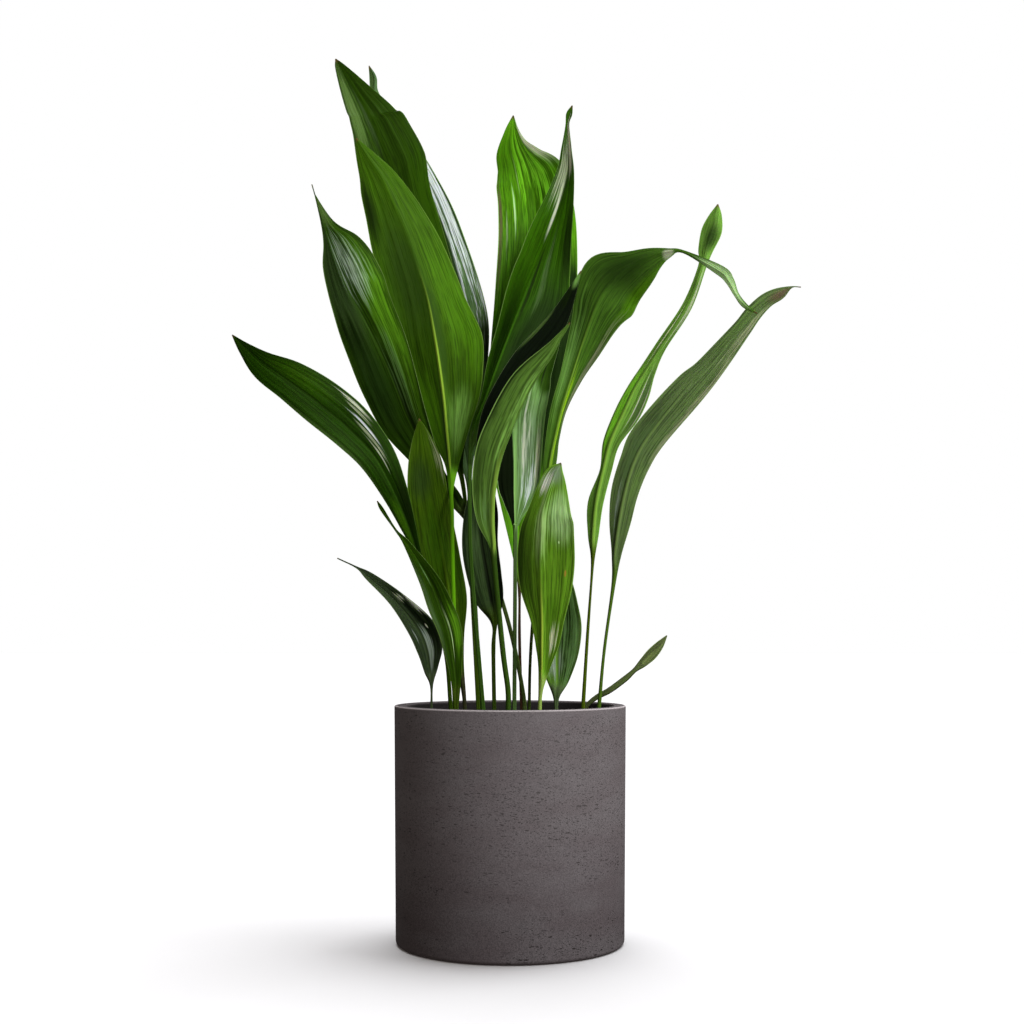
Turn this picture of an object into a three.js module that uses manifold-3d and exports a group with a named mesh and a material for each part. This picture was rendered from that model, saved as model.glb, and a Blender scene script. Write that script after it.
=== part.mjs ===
// A cast iron plant (Aspidistra elatior) in a straight round cover pot of dark fibre clay.
// Millimetres, +Z up, seen from the front along +Y with +X to the right.
// The origin is the middle of the pot's foot, on the surface that it stands on.

import * as THREE from 'three';
import { mergeVertices } from 'three/addons/utils/BufferGeometryUtils.js';
import Module from 'manifold-3d';

const wasm = await Module();
wasm.setup();

// Cover pot
const potHeight = 222;
const rimRadius = 110;
const footRadius = 107.5;
const potWall = 11.5;
const potFloor = 14;
const rimBevel = 1.5;
const footRounding = 4;
const footRoundingSteps = 3;
const potSides = 64;

// Soil, a little below the rim and a little lower at the wall than in the middle
const soilTop = 200;
const soilDish = 4;
const soilShoulder = 22;
const seatGap = 0.3;

// Stalks, each in a plain round hole in the soil
const stalkDepth = 16;
const stalkCollar = 2;
const holeClearance = 0.4;
const holeSides = 12;

// Blades: thickness at the edge, half way in and along the midrib
const edgeThickness = 0.8;
const bladeThickness = 0.9;
const ribThickness = 2.4;
const ribTipThickness = 1;
const stalkHalfWidth = 3;
const leastHalfWidth = 0.5;
const stepsPerStation = 2;

// Five points across a leaf, from its left edge over the midrib to its right edge.
// On the round stalk the outer ones stand this many degrees to each side of the middle.
const across = [-1, -0.5, 0, 0.5, 1];
const stalkSpread = 72;

// The leaves are laid out as they are seen from the front, from this point
const frontView = new THREE.Vector3(1.8, -1500, 290);

const leafRoughness = 0.35;
const clayRoughness = 0.85;
const soilRoughness = 0.95;
const clayBrown = '#4b4542';
const soilBrown = '#33261c';
const deepGreen = '#2f5a26';
const freshGreen = '#4f8a2e';
const silverGreen = '#7d907a';
const brightGreen = '#3f9a1f';
const dullGreen = '#5c7048';

// Each station is [side, up, back, left, right, turn], from the soil to the tip.
// side and up place the midrib in the upright plane through the pot's middle, and back then
// moves it away from the viewer along the line of sight. left and right are the half widths
// of the blade, and turn swings both halves together, in degrees.
// fold lifts each half towards the upper face, and curl bends it on its way to the edge.
const leaves = [
  {
    name: 'leaf_tall_left', seen: 'upper', fold: 22, curl: -14, colour: deepGreen,
    stations: [
      [-30, 212, 6, 2, 2, 0],
      [-35, 303, 8, 2, 2, 0],
      [-39, 370, 14, 2, 2, 0],
      [-44, 423, 28, 2, 2, 0],
      [-50, 455, 36, 5, 5, 0],
      [-59, 491, 45, 22.5, 22.5, 0],
      [-70, 540, 58, 34.5, 34.5, 0],
      [-83, 603, 72, 40.5, 39.5, -2],
      [-97, 663, 84, 38, 38, -6],
      [-111, 712, 93, 36.5, 37.5, -13],
      [-124, 746, 100, 31, 46, -21],
      [-136, 777, 106, 23, 42.5, -25],
      [-142, 791, 109, 20, 38.5, -26],
      [-147, 804, 111, 19, 28, -25],
      [-166, 843, 118, 7, 7, -18],
      [-172, 854, 120, 0.5, 0.5, -10],
    ],
  },
  {
    name: 'leaf_broad_front', seen: 'under', fold: 20, curl: -10, colour: freshGreen,
    stations: [
      [-51, 212, -45, 2, 2, 0],
      [-55, 351, -42, 2, 2, 0],
      [-56, 404, -38, 2, 2, 0],
      [-57, 428, -28, 2.5, 2.5, 5],
      [-58, 455, -10, 6, 9.5, 12],
      [-61, 486, 1, 20.5, 22, 15],
      [-64, 515, 10, 31.5, 35, 15],
      [-68, 545, 18, 42, 43, 11],
      [-73, 576, 24, 44, 47.5, 3],
      [-80, 613, 30, 42, 40, -7],
      [-89, 643, 34, 40, 38.5, -15],
      [-100, 677, 38, 38.5, 35, -20],
      [-113, 708, 42, 31.5, 29, -23],
      [-125, 734, 45, 25, 18.5, -23],
      [-140, 756, 48, 12, 9.5, -18],
      [-151, 774, 50, 0.5, 0.5, -10],
    ],
  },
  {
    name: 'leaf_glossy_left', seen: 'upper', fold: 18, curl: -12, colour: silverGreen,
    stations: [
      [14, 212, -2, 2, 2, 0],
      [12, 236, -1, 2, 2, 0],
      [-1, 298, 0, 2, 2, 0],
      [-24, 370, 8, 2, 2, 0],
      [-40, 398, 5, 3, 3, 0],
      [-53, 419, 2, 7.5, 7.5, 16],
      [-68, 442, 0, 12.5, 7, 20],
      [-83, 467, -8, 19, 14.5, 24],
      [-99, 498, -13, 28.5, 22.5, 24],
      [-112, 531, -14, 32, 26.5, 18],
      [-127, 566, -14, 31.5, 29, 5],
      [-143, 598, -15, 29, 31.5, -11],
      [-157, 623, -16, 24, 37.5, -21],
      [-168, 649, -18, 18, 36, -26],
      [-176, 670, -20, 7.5, 27.5, -25],
      [-182, 689, -22, 3, 10, -18],
      [-191, 718, -25, 0.5, 0.5, -8],
      [-194, 728, -26, 0.5, 0.5, -2],
    ],
  },
  {
    name: 'leaf_leaning_left', seen: 'upper', fold: 16, curl: -22, colour: silverGreen,
    stations: [
      [-56, 212, -30, 2, 2, 0],
      [-63, 279, -34, 2, 2, 0],
      [-87, 360, -60, 3.5, 3.5, 7],
      [-99, 396, -70, 8, 7.5, 2],
      [-114, 430, -78, 12.5, 14, -11],
      [-131, 460, -83, 17.5, 20.5, -23],
      [-155, 486, -88, 21, 25.5, -26],
      [-183, 510, -93, 21.5, 26, -24],
      [-212, 532, -98, 18, 20.5, -13],
      [-238, 550, -102, 14.5, 12, 4],
      [-257, 567, -105, 7.5, 4.5, 12],
      [-270, 579, -108, 0.5, 0.5, 9],
    ],
  },
  {
    name: 'leaf_silver_back', seen: 'upper', fold: 18, curl: -16, colour: silverGreen,
    stations: [
      [-26, 212, 18, 2, 2, 0],
      [-32, 293, 22, 2, 2, 0],
      [-38, 408, 46, 2, 2, 0],
      [-41, 447, 56, 5, 5, -1],
      [-47, 484, 66, 19, 18.5, -5],
      [-54, 530, 78, 30.5, 33, -10],
      [-65, 584, 92, 45.5, 48, -14],
      [-77, 633, 104, 45.5, 48, -15],
      [-92, 688, 116, 41.5, 43.5, -15],
      [-108, 740, 126, 32, 33, -16],
      [-123, 787, 134, 14.5, 15.5, -17],
      [-134, 818, 138, 4.5, 6, -15],
      [-135, 835, 140, 4, 4, -8],
      [-139, 847, 142, 0.5, 0.5, -2],
    ],
  },
  {
    name: 'leaf_olive_low', seen: 'under', fold: 14, curl: -10, colour: dullGreen,
    stations: [
      [-43, 212, -22, 2, 2, 0],
      [-44, 231, -23, 2, 2, 0],
      [-48, 260, -23, 4, 4, -4],
      [-52, 288, -24, 10.5, 8.5, -8],
      [-58, 322, -27, 19, 18, -14],
      [-64, 360, -31, 24, 18.5, -21],
      [-70, 394, -34, 25.5, 18, -25],
      [-76, 428, -40, 23.5, 18.5, -26],
      [-80, 455, -45, 19, 16, -25],
      [-84, 478, -49, 10.5, 8.5, -18],
      [-88, 497, -52, 0.5, 0.5, -10],
    ],
  },
  {
    name: 'leaf_bright_back', seen: 'upper', fold: 12, curl: -6, colour: brightGreen,
    stations: [
      [11, 212, 30, 1.5, 1.5, 0],
      [9, 284, 33, 1.5, 1.5, 0],
      [9, 327, 40, 1.5, 1.5, 0],
      [8, 360, 49, 5, 5, 0],
      [9, 447, 74, 27.5, 27.5, 0],
      [13, 505, 90, 37.5, 37.5, -1],
      [19, 564, 106, 41.5, 41, -3],
      [24, 623, 118, 42.5, 44, -6],
      [26, 678, 130, 41.5, 42.5, -4],
      [24, 712, 138, 39.5, 40.5, 5],
      [20, 735, 143, 38.5, 38.5, 16],
      [15, 752, 148, 35, 21.5, 24],
      [9, 767, 152, 29, 10, 24],
      [5, 782, 156, 13.5, 4, 18],
      [3, 797, 160, 0.5, 0.5, 10],
    ],
  },
  {
    name: 'leaf_folded_centre', seen: 'upper', fold: 32, curl: -10, colour: deepGreen,
    stations: [
      [-25, 212, -28, 2, 2, 0],
      [-37, 351, -31, 2, 2, 0],
      [-39, 408, -30, 2, 2, 0],
      [-39, 442, -24, 2, 2, 0],
      [-38, 469, -4, 3, 3, 0],
      [-33, 494, 12, 6, 14, -35],
      [-23, 520, 29, 12.5, 26, -35],
      [-10, 556, 48, 26.5, 40.5, -35],
      [13, 616, 72, 39.5, 49.5, -34],
      [25, 647, 82, 35, 38, -28],
      [36, 675, 90, 25.5, 26.5, -14],
      [48, 709, 98, 17, 17, 6],
      [56, 740, 104, 11.5, 10, 25],
      [57, 764, 107, 7.5, 5, 25],
      [56, 787, 110, 2, 2.5, 11],
      [58, 798, 111, 3.5, 3.5, 5],
      [61, 807, 112, 0.5, 0.5, 2],
    ],
  },
  {
    name: 'leaf_curved_centre', seen: 'under', fold: 40, curl: -8, colour: freshGreen,
    stations: [
      [-2, 212, -52, 2.5, 2.5, 0],
      [-2, 236, -54, 2.5, 2.5, 0],
      [-7, 274, -56, 2.5, 2.5, 0],
      [-15, 355, -64, 2.5, 2.5, 0],
      [-16, 375, -66, 4.5, 4.5, -35],
      [-17, 397, -68, 14, 4.5, -35],
      [-16, 423, -71, 19.5, 5, -35],
      [-11, 454, -74, 23, 5, -35],
      [-2, 480, -77, 24, 5, -35],
      [18, 526, -82, 20, 5, -35],
      [40, 559, -86, 11, 4, -35],
      [48, 575, -88, 4.5, 3.5, -35],
      [58, 591, -90, 0.5, 0.5, 0],
    ],
  },
  {
    name: 'leaf_silver_centre', seen: 'upper', fold: 14, curl: -16, colour: silverGreen,
    stations: [
      [4, 212, -18, 2, 2, 0],
      [5, 375, -21, 2, 2, 0],
      [5, 395, -20, 3.5, 4, -15],
      [5, 415, -19, 12, 15.5, -15],
      [5, 437, -18, 18.5, 23.5, -15],
      [6, 496, -17, 18.5, 27.5, -15],
      [11, 520, -18, 18.5, 26.5, -15],
      [18, 542, -15, 16.5, 24.5, -15],
      [29, 559, -9, 12.5, 17.5, -15],
      [41, 574, 0, 6, 9, -11],
      [49, 583, 6, 0.5, 0.5, -4],
    ],
  },
  {
    name: 'leaf_shaded_centre', seen: 'upper', fold: 12, curl: -8, colour: deepGreen,
    stations: [
      [-15, 212, -12, 2, 2, 0],
      [-16, 274, -11, 2, 2, 0],
      [-15, 299, -10, 3, 3, 0],
      [-18, 322, -8, 15.5, 12.5, 15],
      [-22, 346, -5, 19.5, 14.5, 11],
      [-27, 375, -3, 19.5, 15.5, 0],
      [-30, 404, -1, 15, 18.5, -11],
      [-30, 433, -2, 8, 15, -15],
      [-26, 467, -29, 8, 13, -15],
      [-17, 501, -41, 11, 14, -15],
      [-2, 531, -44, 11.5, 13.5, -11],
      [16, 556, -46, 12.5, 12.5, -4],
      [35, 578, -48, 11.5, 11.5, 0],
      [50, 600, -50, 8.5, 8.5, 0],
      [69, 642, -55, 0.5, 0.5, 0],
    ],
  },
  {
    name: 'leaf_broad_right', seen: 'under', fold: 14, curl: -14, colour: freshGreen,
    stations: [
      [28, 212, -60, 2, 2, 0],
      [29, 234, -63, 2, 2, 0],
      [31, 255, -66, 4.5, 6.5, 26],
      [31, 279, -72, 7.5, 15.5, 26],
      [31, 303, -78, 13.5, 21, 26],
      [30, 331, -84, 23, 28.5, 26],
      [29, 360, -90, 25, 32.5, 26],
      [30, 389, -96, 22, 31.5, 26],
      [32, 410, -100, 14.5, 27.5, 25],
      [42, 441, -106, 10, 11.5, 18],
      [49, 454, -108, 0.5, 0.5, 10],
    ],
  },
  {
    name: 'leaf_low_right', seen: 'upper', fold: 16, curl: -16, colour: freshGreen,
    stations: [
      [44, 212, -32, 1.5, 1.5, 0],
      [44, 229, -34, 3, 3, 0],
      [45, 246, -36, 10.5, 11.5, -9],
      [45, 269, -38, 19, 19.5, -4],
      [46, 298, -41, 22.5, 22.5, 7],
      [47, 325, -44, 22, 18, 19],
      [46, 351, -46, 18.5, 12, 23],
      [44, 375, -48, 11.5, 10, 18],
      [41, 399, -50, 0.5, 0.5, 10],
    ],
  },
  {
    name: 'leaf_narrow_right', seen: 'under', fold: 30, curl: -10, colour: dullGreen,
    stations: [
      [69, 212, -12, 2, 2, 0],
      [74, 288, -14, 1.5, 1.5, 0],
      [79, 355, -21, 1.5, 1.5, 0],
      [80, 384, -24, 5.5, 5.5, -3],
      [83, 415, -28, 9, 7, 3],
      [90, 447, -32, 4, 8, 11],
      [97, 474, -36, 9.5, 9, 17],
      [110, 503, -40, 12, 15.5, 22],
      [121, 526, -42, 10.5, 15, 24],
      [133, 546, -44, 8.5, 9, 20],
      [147, 568, -45, 7, 5, 12],
      [172, 607, -48, 5.5, 5, 6],
      [187, 647, -46, 4, 4.5, 4],
      [191, 663, -44, 8, 7, 3],
      [197, 683, -42, 10.5, 10.5, 2],
      [201, 698, -40, 6.5, 6.5, 2],
      [203, 708, -38, 0.5, 0.5, 1],
    ],
  },
  {
    name: 'leaf_wide_right', seen: 'under', fold: 16, curl: -10, colour: dullGreen,
    stations: [
      [84, 212, 6, 2, 2, 0],
      [90, 274, 8, 1.5, 1.5, 0],
      [99, 336, 12, 2, 2, 15],
      [101, 365, 15, 4, 6, 21],
      [105, 396, 18, 10.5, 11, 13],
      [111, 426, 22, 14.5, 13, 5],
      [120, 455, 26, 15, 16, 4],
      [135, 481, 30, 19, 17, 10],
      [172, 527, 38, 16.5, 19, 17],
      [191, 547, 42, 13.5, 16.5, 22],
      [223, 585, 50, 9, 11.5, 19],
      [236, 600, 53, 9, 9, 9],
      [250, 612, 56, 9, 6.5, 4],
      [263, 620, 58, 6.5, 6, 7],
      [274, 626, 60, 1, 1, 6],
      [283, 626, 60, 0.5, 0.5, 2],
    ],
  },
  {
    name: 'leaf_small_left', seen: 'upper', fold: 24, curl: -12, colour: deepGreen,
    stations: [
      [-75, 212, -24, 1.5, 1.5, 0],
      [-75, 240, -26, 1.5, 1.5, 0],
      [-77, 257, -28, 7.5, 8.5, -24],
      [-81, 276, -32, 11, 17, -25],
      [-89, 294, -36, 12, 17, -25],
      [-111, 322, -43, 7.5, 9.5, -23],
      [-136, 344, -49, 3.5, 5, -17],
      [-147, 353, -52, 1, 1, -8],
      [-166, 362, -54, 0.5, 0.5, -2],
    ],
  },
  {
    name: 'leaf_narrow_left', seen: 'upper', fold: 18, curl: -12, colour: freshGreen,
    stations: [
      [-52, 212, -64, 2, 2, 0],
      [-52, 246, -68, 5, 5, -21],
      [-58, 288, -80, 10.5, 12, -22],
      [-67, 315, -88, 12, 12, -15],
      [-77, 341, -96, 10, 8.5, -2],
      [-99, 376, -106, 3.5, 3, 9],
      [-110, 389, -110, 1, 1, 12],
      [-123, 409, -116, 2, 1.5, 10],
      [-128, 417, -118, 0.5, 0.5, 7],
    ],
  },
  {
    name: 'leaf_small_right', seen: 'upper', fold: 24, curl: -10, colour: deepGreen,
    stations: [
      [70, 212, 26, 1.5, 1.5, 0],
      [73, 221, 27, 2, 2, 0],
      [82, 229, 29, 2.5, 2.5, 0],
      [95, 236, 30, 3, 3, 0],
      [124, 259, 42, 3.5, 3.5, 0],
      [143, 281, 54, 4, 4, -10],
      [150, 288, 58, 0.5, 0.5, 0],
    ],
  },
  {
    name: 'leaf_arching_right', seen: 'under', fold: 14, curl: -12, colour: freshGreen,
    stations: [
      [18, 212, -16, 1.5, 1.5, 0],
      [20, 279, -17, 1.5, 1.5, 0],
      [29, 384, -20, 2, 2, 0],
      [38, 452, -24, 6, 6.5, -10],
      [43, 478, -26, 8.5, 5, -17],
      [50, 507, -28, 10.5, 5.5, -17],
      [60, 539, -30, 11.5, 11, -3],
      [69, 566, -32, 15.5, 19, 15],
      [78, 592, -34, 21, 26.5, 22],
      [87, 614, -38, 29, 35, 20],
      [101, 633, -42, 33, 32.5, 16],
      [119, 648, -48, 16, 27.5, 20],
      [136, 657, -53, 8.5, 20.5, 23],
      [154, 661, -58, 3.5, 6.5, 16],
      [169, 661, -61, 1.5, 1.5, 0],
      [204, 642, -72, 5.5, 4.5, -15],
      [213, 632, -76, 5, 3.5, -16],
      [220, 619, -79, 2.5, 2.5, -8],
      [228, 608, -81, 2.5, 2.5, -2],
      [240, 600, -83, 0.5, 0.5, 0],
    ],
  },
];

// A station's place in space.
function place([side, up, back]) {
  const inPlane = new THREE.Vector3(side, 0, up);
  const reach = 1 - back / frontView.y;
  return inPlane.sub(frontView).multiplyScalar(reach).add(frontView);
}

// Smooth midrib and half widths through the stations.
function sampleLeaf(leaf) {
  const midrib = new THREE.CatmullRomCurve3(leaf.stations.map(place), false, 'catmullrom');
  const spread = new THREE.CatmullRomCurve3(
    leaf.stations.map((station) => new THREE.Vector3(...station.slice(3))), false, 'catmullrom');
  const bladeStart = leaf.stations.findIndex(([, , , left]) => left > stalkHalfWidth);
  const intervals = leaf.stations.length - 1;
  const samples = [];
  for (let step = 0; step <= intervals * stepsPerStation; step++) {
    const station = step / stepsPerStation;
    const { x: left, y: right, z: turn } = spread.getPoint(station / intervals);
    samples.push({
      point: midrib.getPoint(station / intervals),
      left: Math.max(left, leastHalfWidth),
      right: Math.max(right, leastHalfWidth),
      turn: THREE.MathUtils.degToRad(turn),
      roundness: THREE.MathUtils.clamp(bladeStart - station, 0, 1),
      along: THREE.MathUtils.clamp((station - bladeStart) / (intervals - bladeStart), 0, 1),
    });
  }
  return samples;
}

// The five points of the upper face and the five of the underside at one sample.
function leafSection(leaf, sample, direction) {
  const face = leaf.seen === 'upper' ? 1 : -1;
  const toViewer = frontView.clone().sub(sample.point).normalize();
  const rightward = direction.clone().cross(toViewer).normalize();
  const outward = rightward.clone().cross(direction);
  const fold = THREE.MathUtils.degToRad(face * leaf.fold);
  const curl = THREE.MathUtils.degToRad(face * leaf.curl);
  const rib = THREE.MathUtils.lerp(ribThickness, ribTipThickness, sample.along);
  const thicknesses = [edgeThickness, bladeThickness, rib, bladeThickness, edgeThickness];
  const at = (x, y) => sample.point.clone().addScaledVector(rightward, x).addScaledVector(outward, y);
  const upper = [];
  const under = [];
  across.forEach((share, index) => {
    const side = Math.sign(share);
    const reach = Math.abs(share);
    const width = share < 0 ? sample.left : sample.right;
    const start = side === 0 ? 0 : fold + side * sample.turn;
    const end = start + curl * reach;
    const x = side * width * (Math.sin(end) - Math.sin(start)) / curl;
    const y = width * (Math.cos(start) - Math.cos(end)) / curl;
    const lean = side === 0 ? sample.turn : side * end;
    const drop = face * thicknesses[index];
    const stalkAngle = THREE.MathUtils.degToRad(90 - stalkSpread * share);
    const stalkX = width * Math.cos(stalkAngle);
    const stalkY = width * Math.sin(stalkAngle);
    const blend = (flat, round) => THREE.MathUtils.lerp(flat, round, sample.roundness);
    upper.push(at(blend(x, stalkX), blend(y, face * stalkY)));
    under.push(at(
      blend(x + drop * Math.sin(lean), stalkX),
      blend(y - drop * Math.cos(lean), -face * stalkY),
    ));
  });
  return { upper, under };
}

// A closed solid through the sections, with both faces split into triangles alike.
function loftLeaf(sections, reversed) {
  const last = across.length - 1;
  const positions = [];
  const triangles = [];
  for (const { upper, under } of sections) {
    for (const point of [...upper, ...under]) positions.push(...point.toArray());
  }
  const upper = (section, index) => section * 2 * across.length + index;
  const under = (section, index) => upper(section, index) + across.length;
  const addFour = (a, b, c, d) => triangles.push(a, b, c, a, c, d);
  for (let index = 0; index < last; index++) {
    const next = index + 1;
    const end = sections.length - 1;
    addFour(upper(0, index), under(0, index), under(0, next), upper(0, next));
    addFour(upper(end, index), upper(end, next), under(end, next), under(end, index));
    for (let section = 0; section < end; section++) {
      const above = section + 1;
      addFour(upper(section, index), upper(section, next), upper(above, next), upper(above, index));
      triangles.push(under(section, index), under(above, next), under(section, next));
      triangles.push(under(section, index), under(above, index), under(above, next));
    }
  }
  for (let section = 0; section < sections.length - 1; section++) {
    const above = section + 1;
    addFour(upper(section, 0), upper(above, 0), under(above, 0), under(section, 0));
    addFour(upper(section, last), under(section, last), under(above, last), upper(above, last));
  }
  if (reversed) triangles.reverse();
  const geometry = new THREE.BufferGeometry();
  geometry.setAttribute('position', new THREE.Float32BufferAttribute(positions, 3));
  geometry.setIndex(triangles);
  return geometry;
}

// One leaf: an upright round stalk in its hole, which leans away above the soil and opens
// into the blade.
function makeLeaf(leaf) {
  const samples = sampleLeaf(leaf);
  const upright = new THREE.Vector3(0, 0, 1);
  const root = samples[0];
  const buried = [soilTop - stalkDepth, soilTop + stalkCollar].map((height) => {
    const point = new THREE.Vector3(root.point.x, root.point.y, height);
    return leafSection(leaf, { ...root, point }, upright);
  });
  const grown = samples.map((sample, index) => {
    const before = samples[Math.max(index - 1, 0)].point;
    const after = samples[Math.min(index + 1, samples.length - 1)].point;
    return leafSection(leaf, sample, after.clone().sub(before).normalize());
  });
  return loftLeaf([...buried, ...grown], leaf.seen === 'under');
}

// A geometry as a solid that can be cut.
function toManifold(geometry) {
  const bare = geometry.clone();
  bare.deleteAttribute('normal');
  bare.deleteAttribute('uv');
  const merged = mergeVertices(bare);
  return new wasm.Manifold(new wasm.Mesh({
    numProp: 3,
    vertProperties: merged.attributes.position.array,
    triVerts: Uint32Array.from(merged.index.array),
  }));
}

// A cut solid as a geometry again.
function toGeometry(manifold) {
  const mesh = manifold.getMesh();
  const geometry = new THREE.BufferGeometry();
  geometry.setAttribute('position', new THREE.Float32BufferAttribute(mesh.vertProperties, 3));
  geometry.setIndex([...mesh.triVerts]);
  return geometry;
}

// A profile of [radius, height] pairs, turned round the pot's upright axis.
function turned(profile) {
  const points = profile.map(([radius, height]) => new THREE.Vector2(radius, height));
  return new THREE.LatheGeometry(points, potSides).rotateX(Math.PI / 2);
}

// The wall's outer radius at a height: the pot widens a little towards its rim.
function outerRadius(height) {
  return THREE.MathUtils.lerp(footRadius, rimRadius, height / potHeight);
}

// The pot is one cast shell with a small bevel on both sides of its rim.
function makePot() {
  const profile = [[0, 0]];
  for (let step = 0; step <= footRoundingSteps; step++) {
    const angle = (Math.PI / 2) * step / footRoundingSteps;
    const height = footRounding * (1 - Math.cos(angle));
    profile.push([outerRadius(0) - footRounding * (1 - Math.sin(angle)), height]);
  }
  profile.push([rimRadius, potHeight - rimBevel]);
  profile.push([rimRadius - rimBevel, potHeight]);
  profile.push([rimRadius - potWall + rimBevel, potHeight]);
  profile.push([rimRadius - potWall, potHeight - rimBevel]);
  profile.push([outerRadius(potFloor) - potWall, potFloor]);
  profile.push([0, potFloor]);
  return turned(profile);
}

// The soil fills the pot and has one blind hole for each stalk.
function makeSoil() {
  const bottom = potFloor + seatGap;
  const wallTop = soilTop - soilDish;
  const body = toManifold(turned([
    [0, bottom],
    [outerRadius(bottom) - potWall - seatGap, bottom],
    [outerRadius(wallTop) - potWall - seatGap, wallTop],
    [outerRadius(wallTop) - potWall - soilShoulder, soilTop],
    [0, soilTop],
  ]));
  const holeDepth = stalkDepth + seatGap;
  return toGeometry(leaves.reduce((soil, leaf) => {
    const root = place(leaf.stations[0]);
    const radius = leaf.stations[0][3] + holeClearance;
    const hole = new THREE.CylinderGeometry(radius, radius, 2 * holeDepth, holeSides)
      .rotateX(Math.PI / 2)
      .translate(root.x, root.y, soilTop);
    return soil.subtract(toManifold(hole));
  }, body));
}

// A piece with its name and its own material.
function named(name, geometry, colour, roughness) {
  const material = new THREE.MeshStandardMaterial({ color: colour, roughness, metalness: 0 });
  const mesh = new THREE.Mesh(geometry, material);
  mesh.name = name;
  return mesh;
}

const plant = new THREE.Group();
plant.add(named('pot', makePot(), clayBrown, clayRoughness));
plant.add(named('soil', makeSoil(), soilBrown, soilRoughness));
for (const leaf of leaves) {
  plant.add(named(leaf.name, makeLeaf(leaf), leaf.colour, leafRoughness));
}

export default plant;
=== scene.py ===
# %% [markdown]
# # A potted cast iron plant
#
# This lesson dresses a plain model of a cast iron plant, *Aspidistra elatior*, in its cover
# pot. The plain model is loaded first and never changes: it says where the pot, the soil and
# each of the nineteen leaves are. Then the camera and the studio are set, each finish is
# mixed from nodes, and each piece is modelled again with the fine form that the eye expects.
#
# All lengths are in metres here, so values that were measured in millimetres go through `mm`.

# %% Load the model and keep its box
import math
import random
from functools import partial

import bpy
import numpy as np
from mathutils import Euler, Matrix, Vector, noise


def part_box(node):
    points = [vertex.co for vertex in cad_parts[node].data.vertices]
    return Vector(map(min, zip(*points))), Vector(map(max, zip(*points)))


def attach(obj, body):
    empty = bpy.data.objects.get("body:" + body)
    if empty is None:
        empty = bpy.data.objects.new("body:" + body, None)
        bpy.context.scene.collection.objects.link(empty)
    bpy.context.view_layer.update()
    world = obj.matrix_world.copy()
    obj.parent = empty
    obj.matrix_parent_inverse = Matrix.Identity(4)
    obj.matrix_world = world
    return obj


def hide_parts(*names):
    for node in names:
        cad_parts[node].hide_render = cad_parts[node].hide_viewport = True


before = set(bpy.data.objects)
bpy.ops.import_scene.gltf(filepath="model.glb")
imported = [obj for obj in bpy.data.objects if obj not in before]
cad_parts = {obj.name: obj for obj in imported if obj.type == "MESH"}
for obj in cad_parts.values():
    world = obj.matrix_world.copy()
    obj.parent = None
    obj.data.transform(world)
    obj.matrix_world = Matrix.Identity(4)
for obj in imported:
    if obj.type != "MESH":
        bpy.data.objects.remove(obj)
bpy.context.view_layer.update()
mm = 0.001

# %% [markdown]
# ## Colours and nodes
#
# A colour picker shows sRGB values, but shaders count in linear light, so each hex colour
# passes through one function.

# %% Colours
def linear(hex_colour):
    channels = [int(hex_colour[i:i + 2], 16) / 255 for i in (1, 3, 5)]
    bent = [c / 12.92 if c <= 0.04045 else ((c + 0.055) / 1.055) ** 2.4 for c in channels]
    return (*bent, 1.0)


print("green check:", [round(c, 3) for c in linear("#2f5a26")])

# %% [markdown]
# A material is a tree of nodes. They could be placed by hand one by one, but one function that
# adds a node and fills its inputs keeps a material as short as the list of its nodes.

# %% Nodes
def feed(node, inputs):
    """Fill a node's inputs, by name or in order, with values, hex colours, sockets or nodes."""
    in_use = [socket for socket in node.inputs if socket.enabled]
    named = isinstance(inputs, dict)
    for key, value in inputs.items() if named else zip(in_use, inputs):
        socket = node.inputs[key] if named else key
        if isinstance(value, bpy.types.Node):
            value = next(output for output in value.outputs if output.enabled)
        if isinstance(value, bpy.types.NodeSocket):
            node.id_data.links.new(value, socket)
        else:
            socket.default_value = linear(value) if isinstance(value, str) else value


def add(tree, kind, inputs=(), settings=None):
    """Add a node with its inputs and its own settings. As an input it gives its first output."""
    node = tree.nodes.new("ShaderNode" + kind)
    for key, value in (settings or {}).items():
        setattr(node, key, value)
    feed(node, inputs)
    return node


def new_material(name):
    """A material, what adds nodes to it, and its shader."""
    material = bpy.data.materials.new(name)
    material.use_nodes = True
    return material, partial(add, material.node_tree), material.node_tree.nodes["Principled BSDF"]


add_up = {"operation": "ADD"}
multiply = {"operation": "MULTIPLY"}
subtract = {"operation": "SUBTRACT"}
largest = {"operation": "MAXIMUM"}
multiply_add = {"operation": "MULTIPLY_ADD"}
absolute = {"operation": "ABSOLUTE"}
length_of = {"operation": "LENGTH"}
smooth = {"interpolation_type": "SMOOTHSTEP"}
mix_colours = {"data_type": "RGBA"}
multiply_colours = {"data_type": "RGBA", "blend_type": "MULTIPLY"}
print("node settings:", add_up, multiply, smooth)

# %% [markdown]
# ## Camera
#
# The plant was seen from 1.5 m away, a little above the rim and tilted up a few degrees. A
# 55 mm lens on a full frame gives the same size in the picture.

# %% Set the camera
view_distance = 1500 * mm
view_point = Vector((1.8 * mm, -view_distance, 290 * mm))
view_tilt = math.radians(4.44)
camera_data = bpy.data.cameras.new("camera")
camera_data.lens = 54.96
camera_data.sensor_width = 36
camera = bpy.data.objects.new("camera", camera_data)
camera.location = view_point
camera.rotation_euler = (math.radians(90) + view_tilt, 0, 0)
bpy.context.collection.objects.link(camera)
bpy.context.scene.camera = camera
print("camera:", round(math.degrees(camera_data.angle), 1), "degrees across")

# %% [markdown]
# ## Studio
#
# The floor is one pale sheet. It throws no light back, because light from below would hide
# the shaded side of the pot.

# %% Floor
floor_width = 40


def deselect():
    bpy.ops.object.select_all(action="DESELECT")


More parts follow.
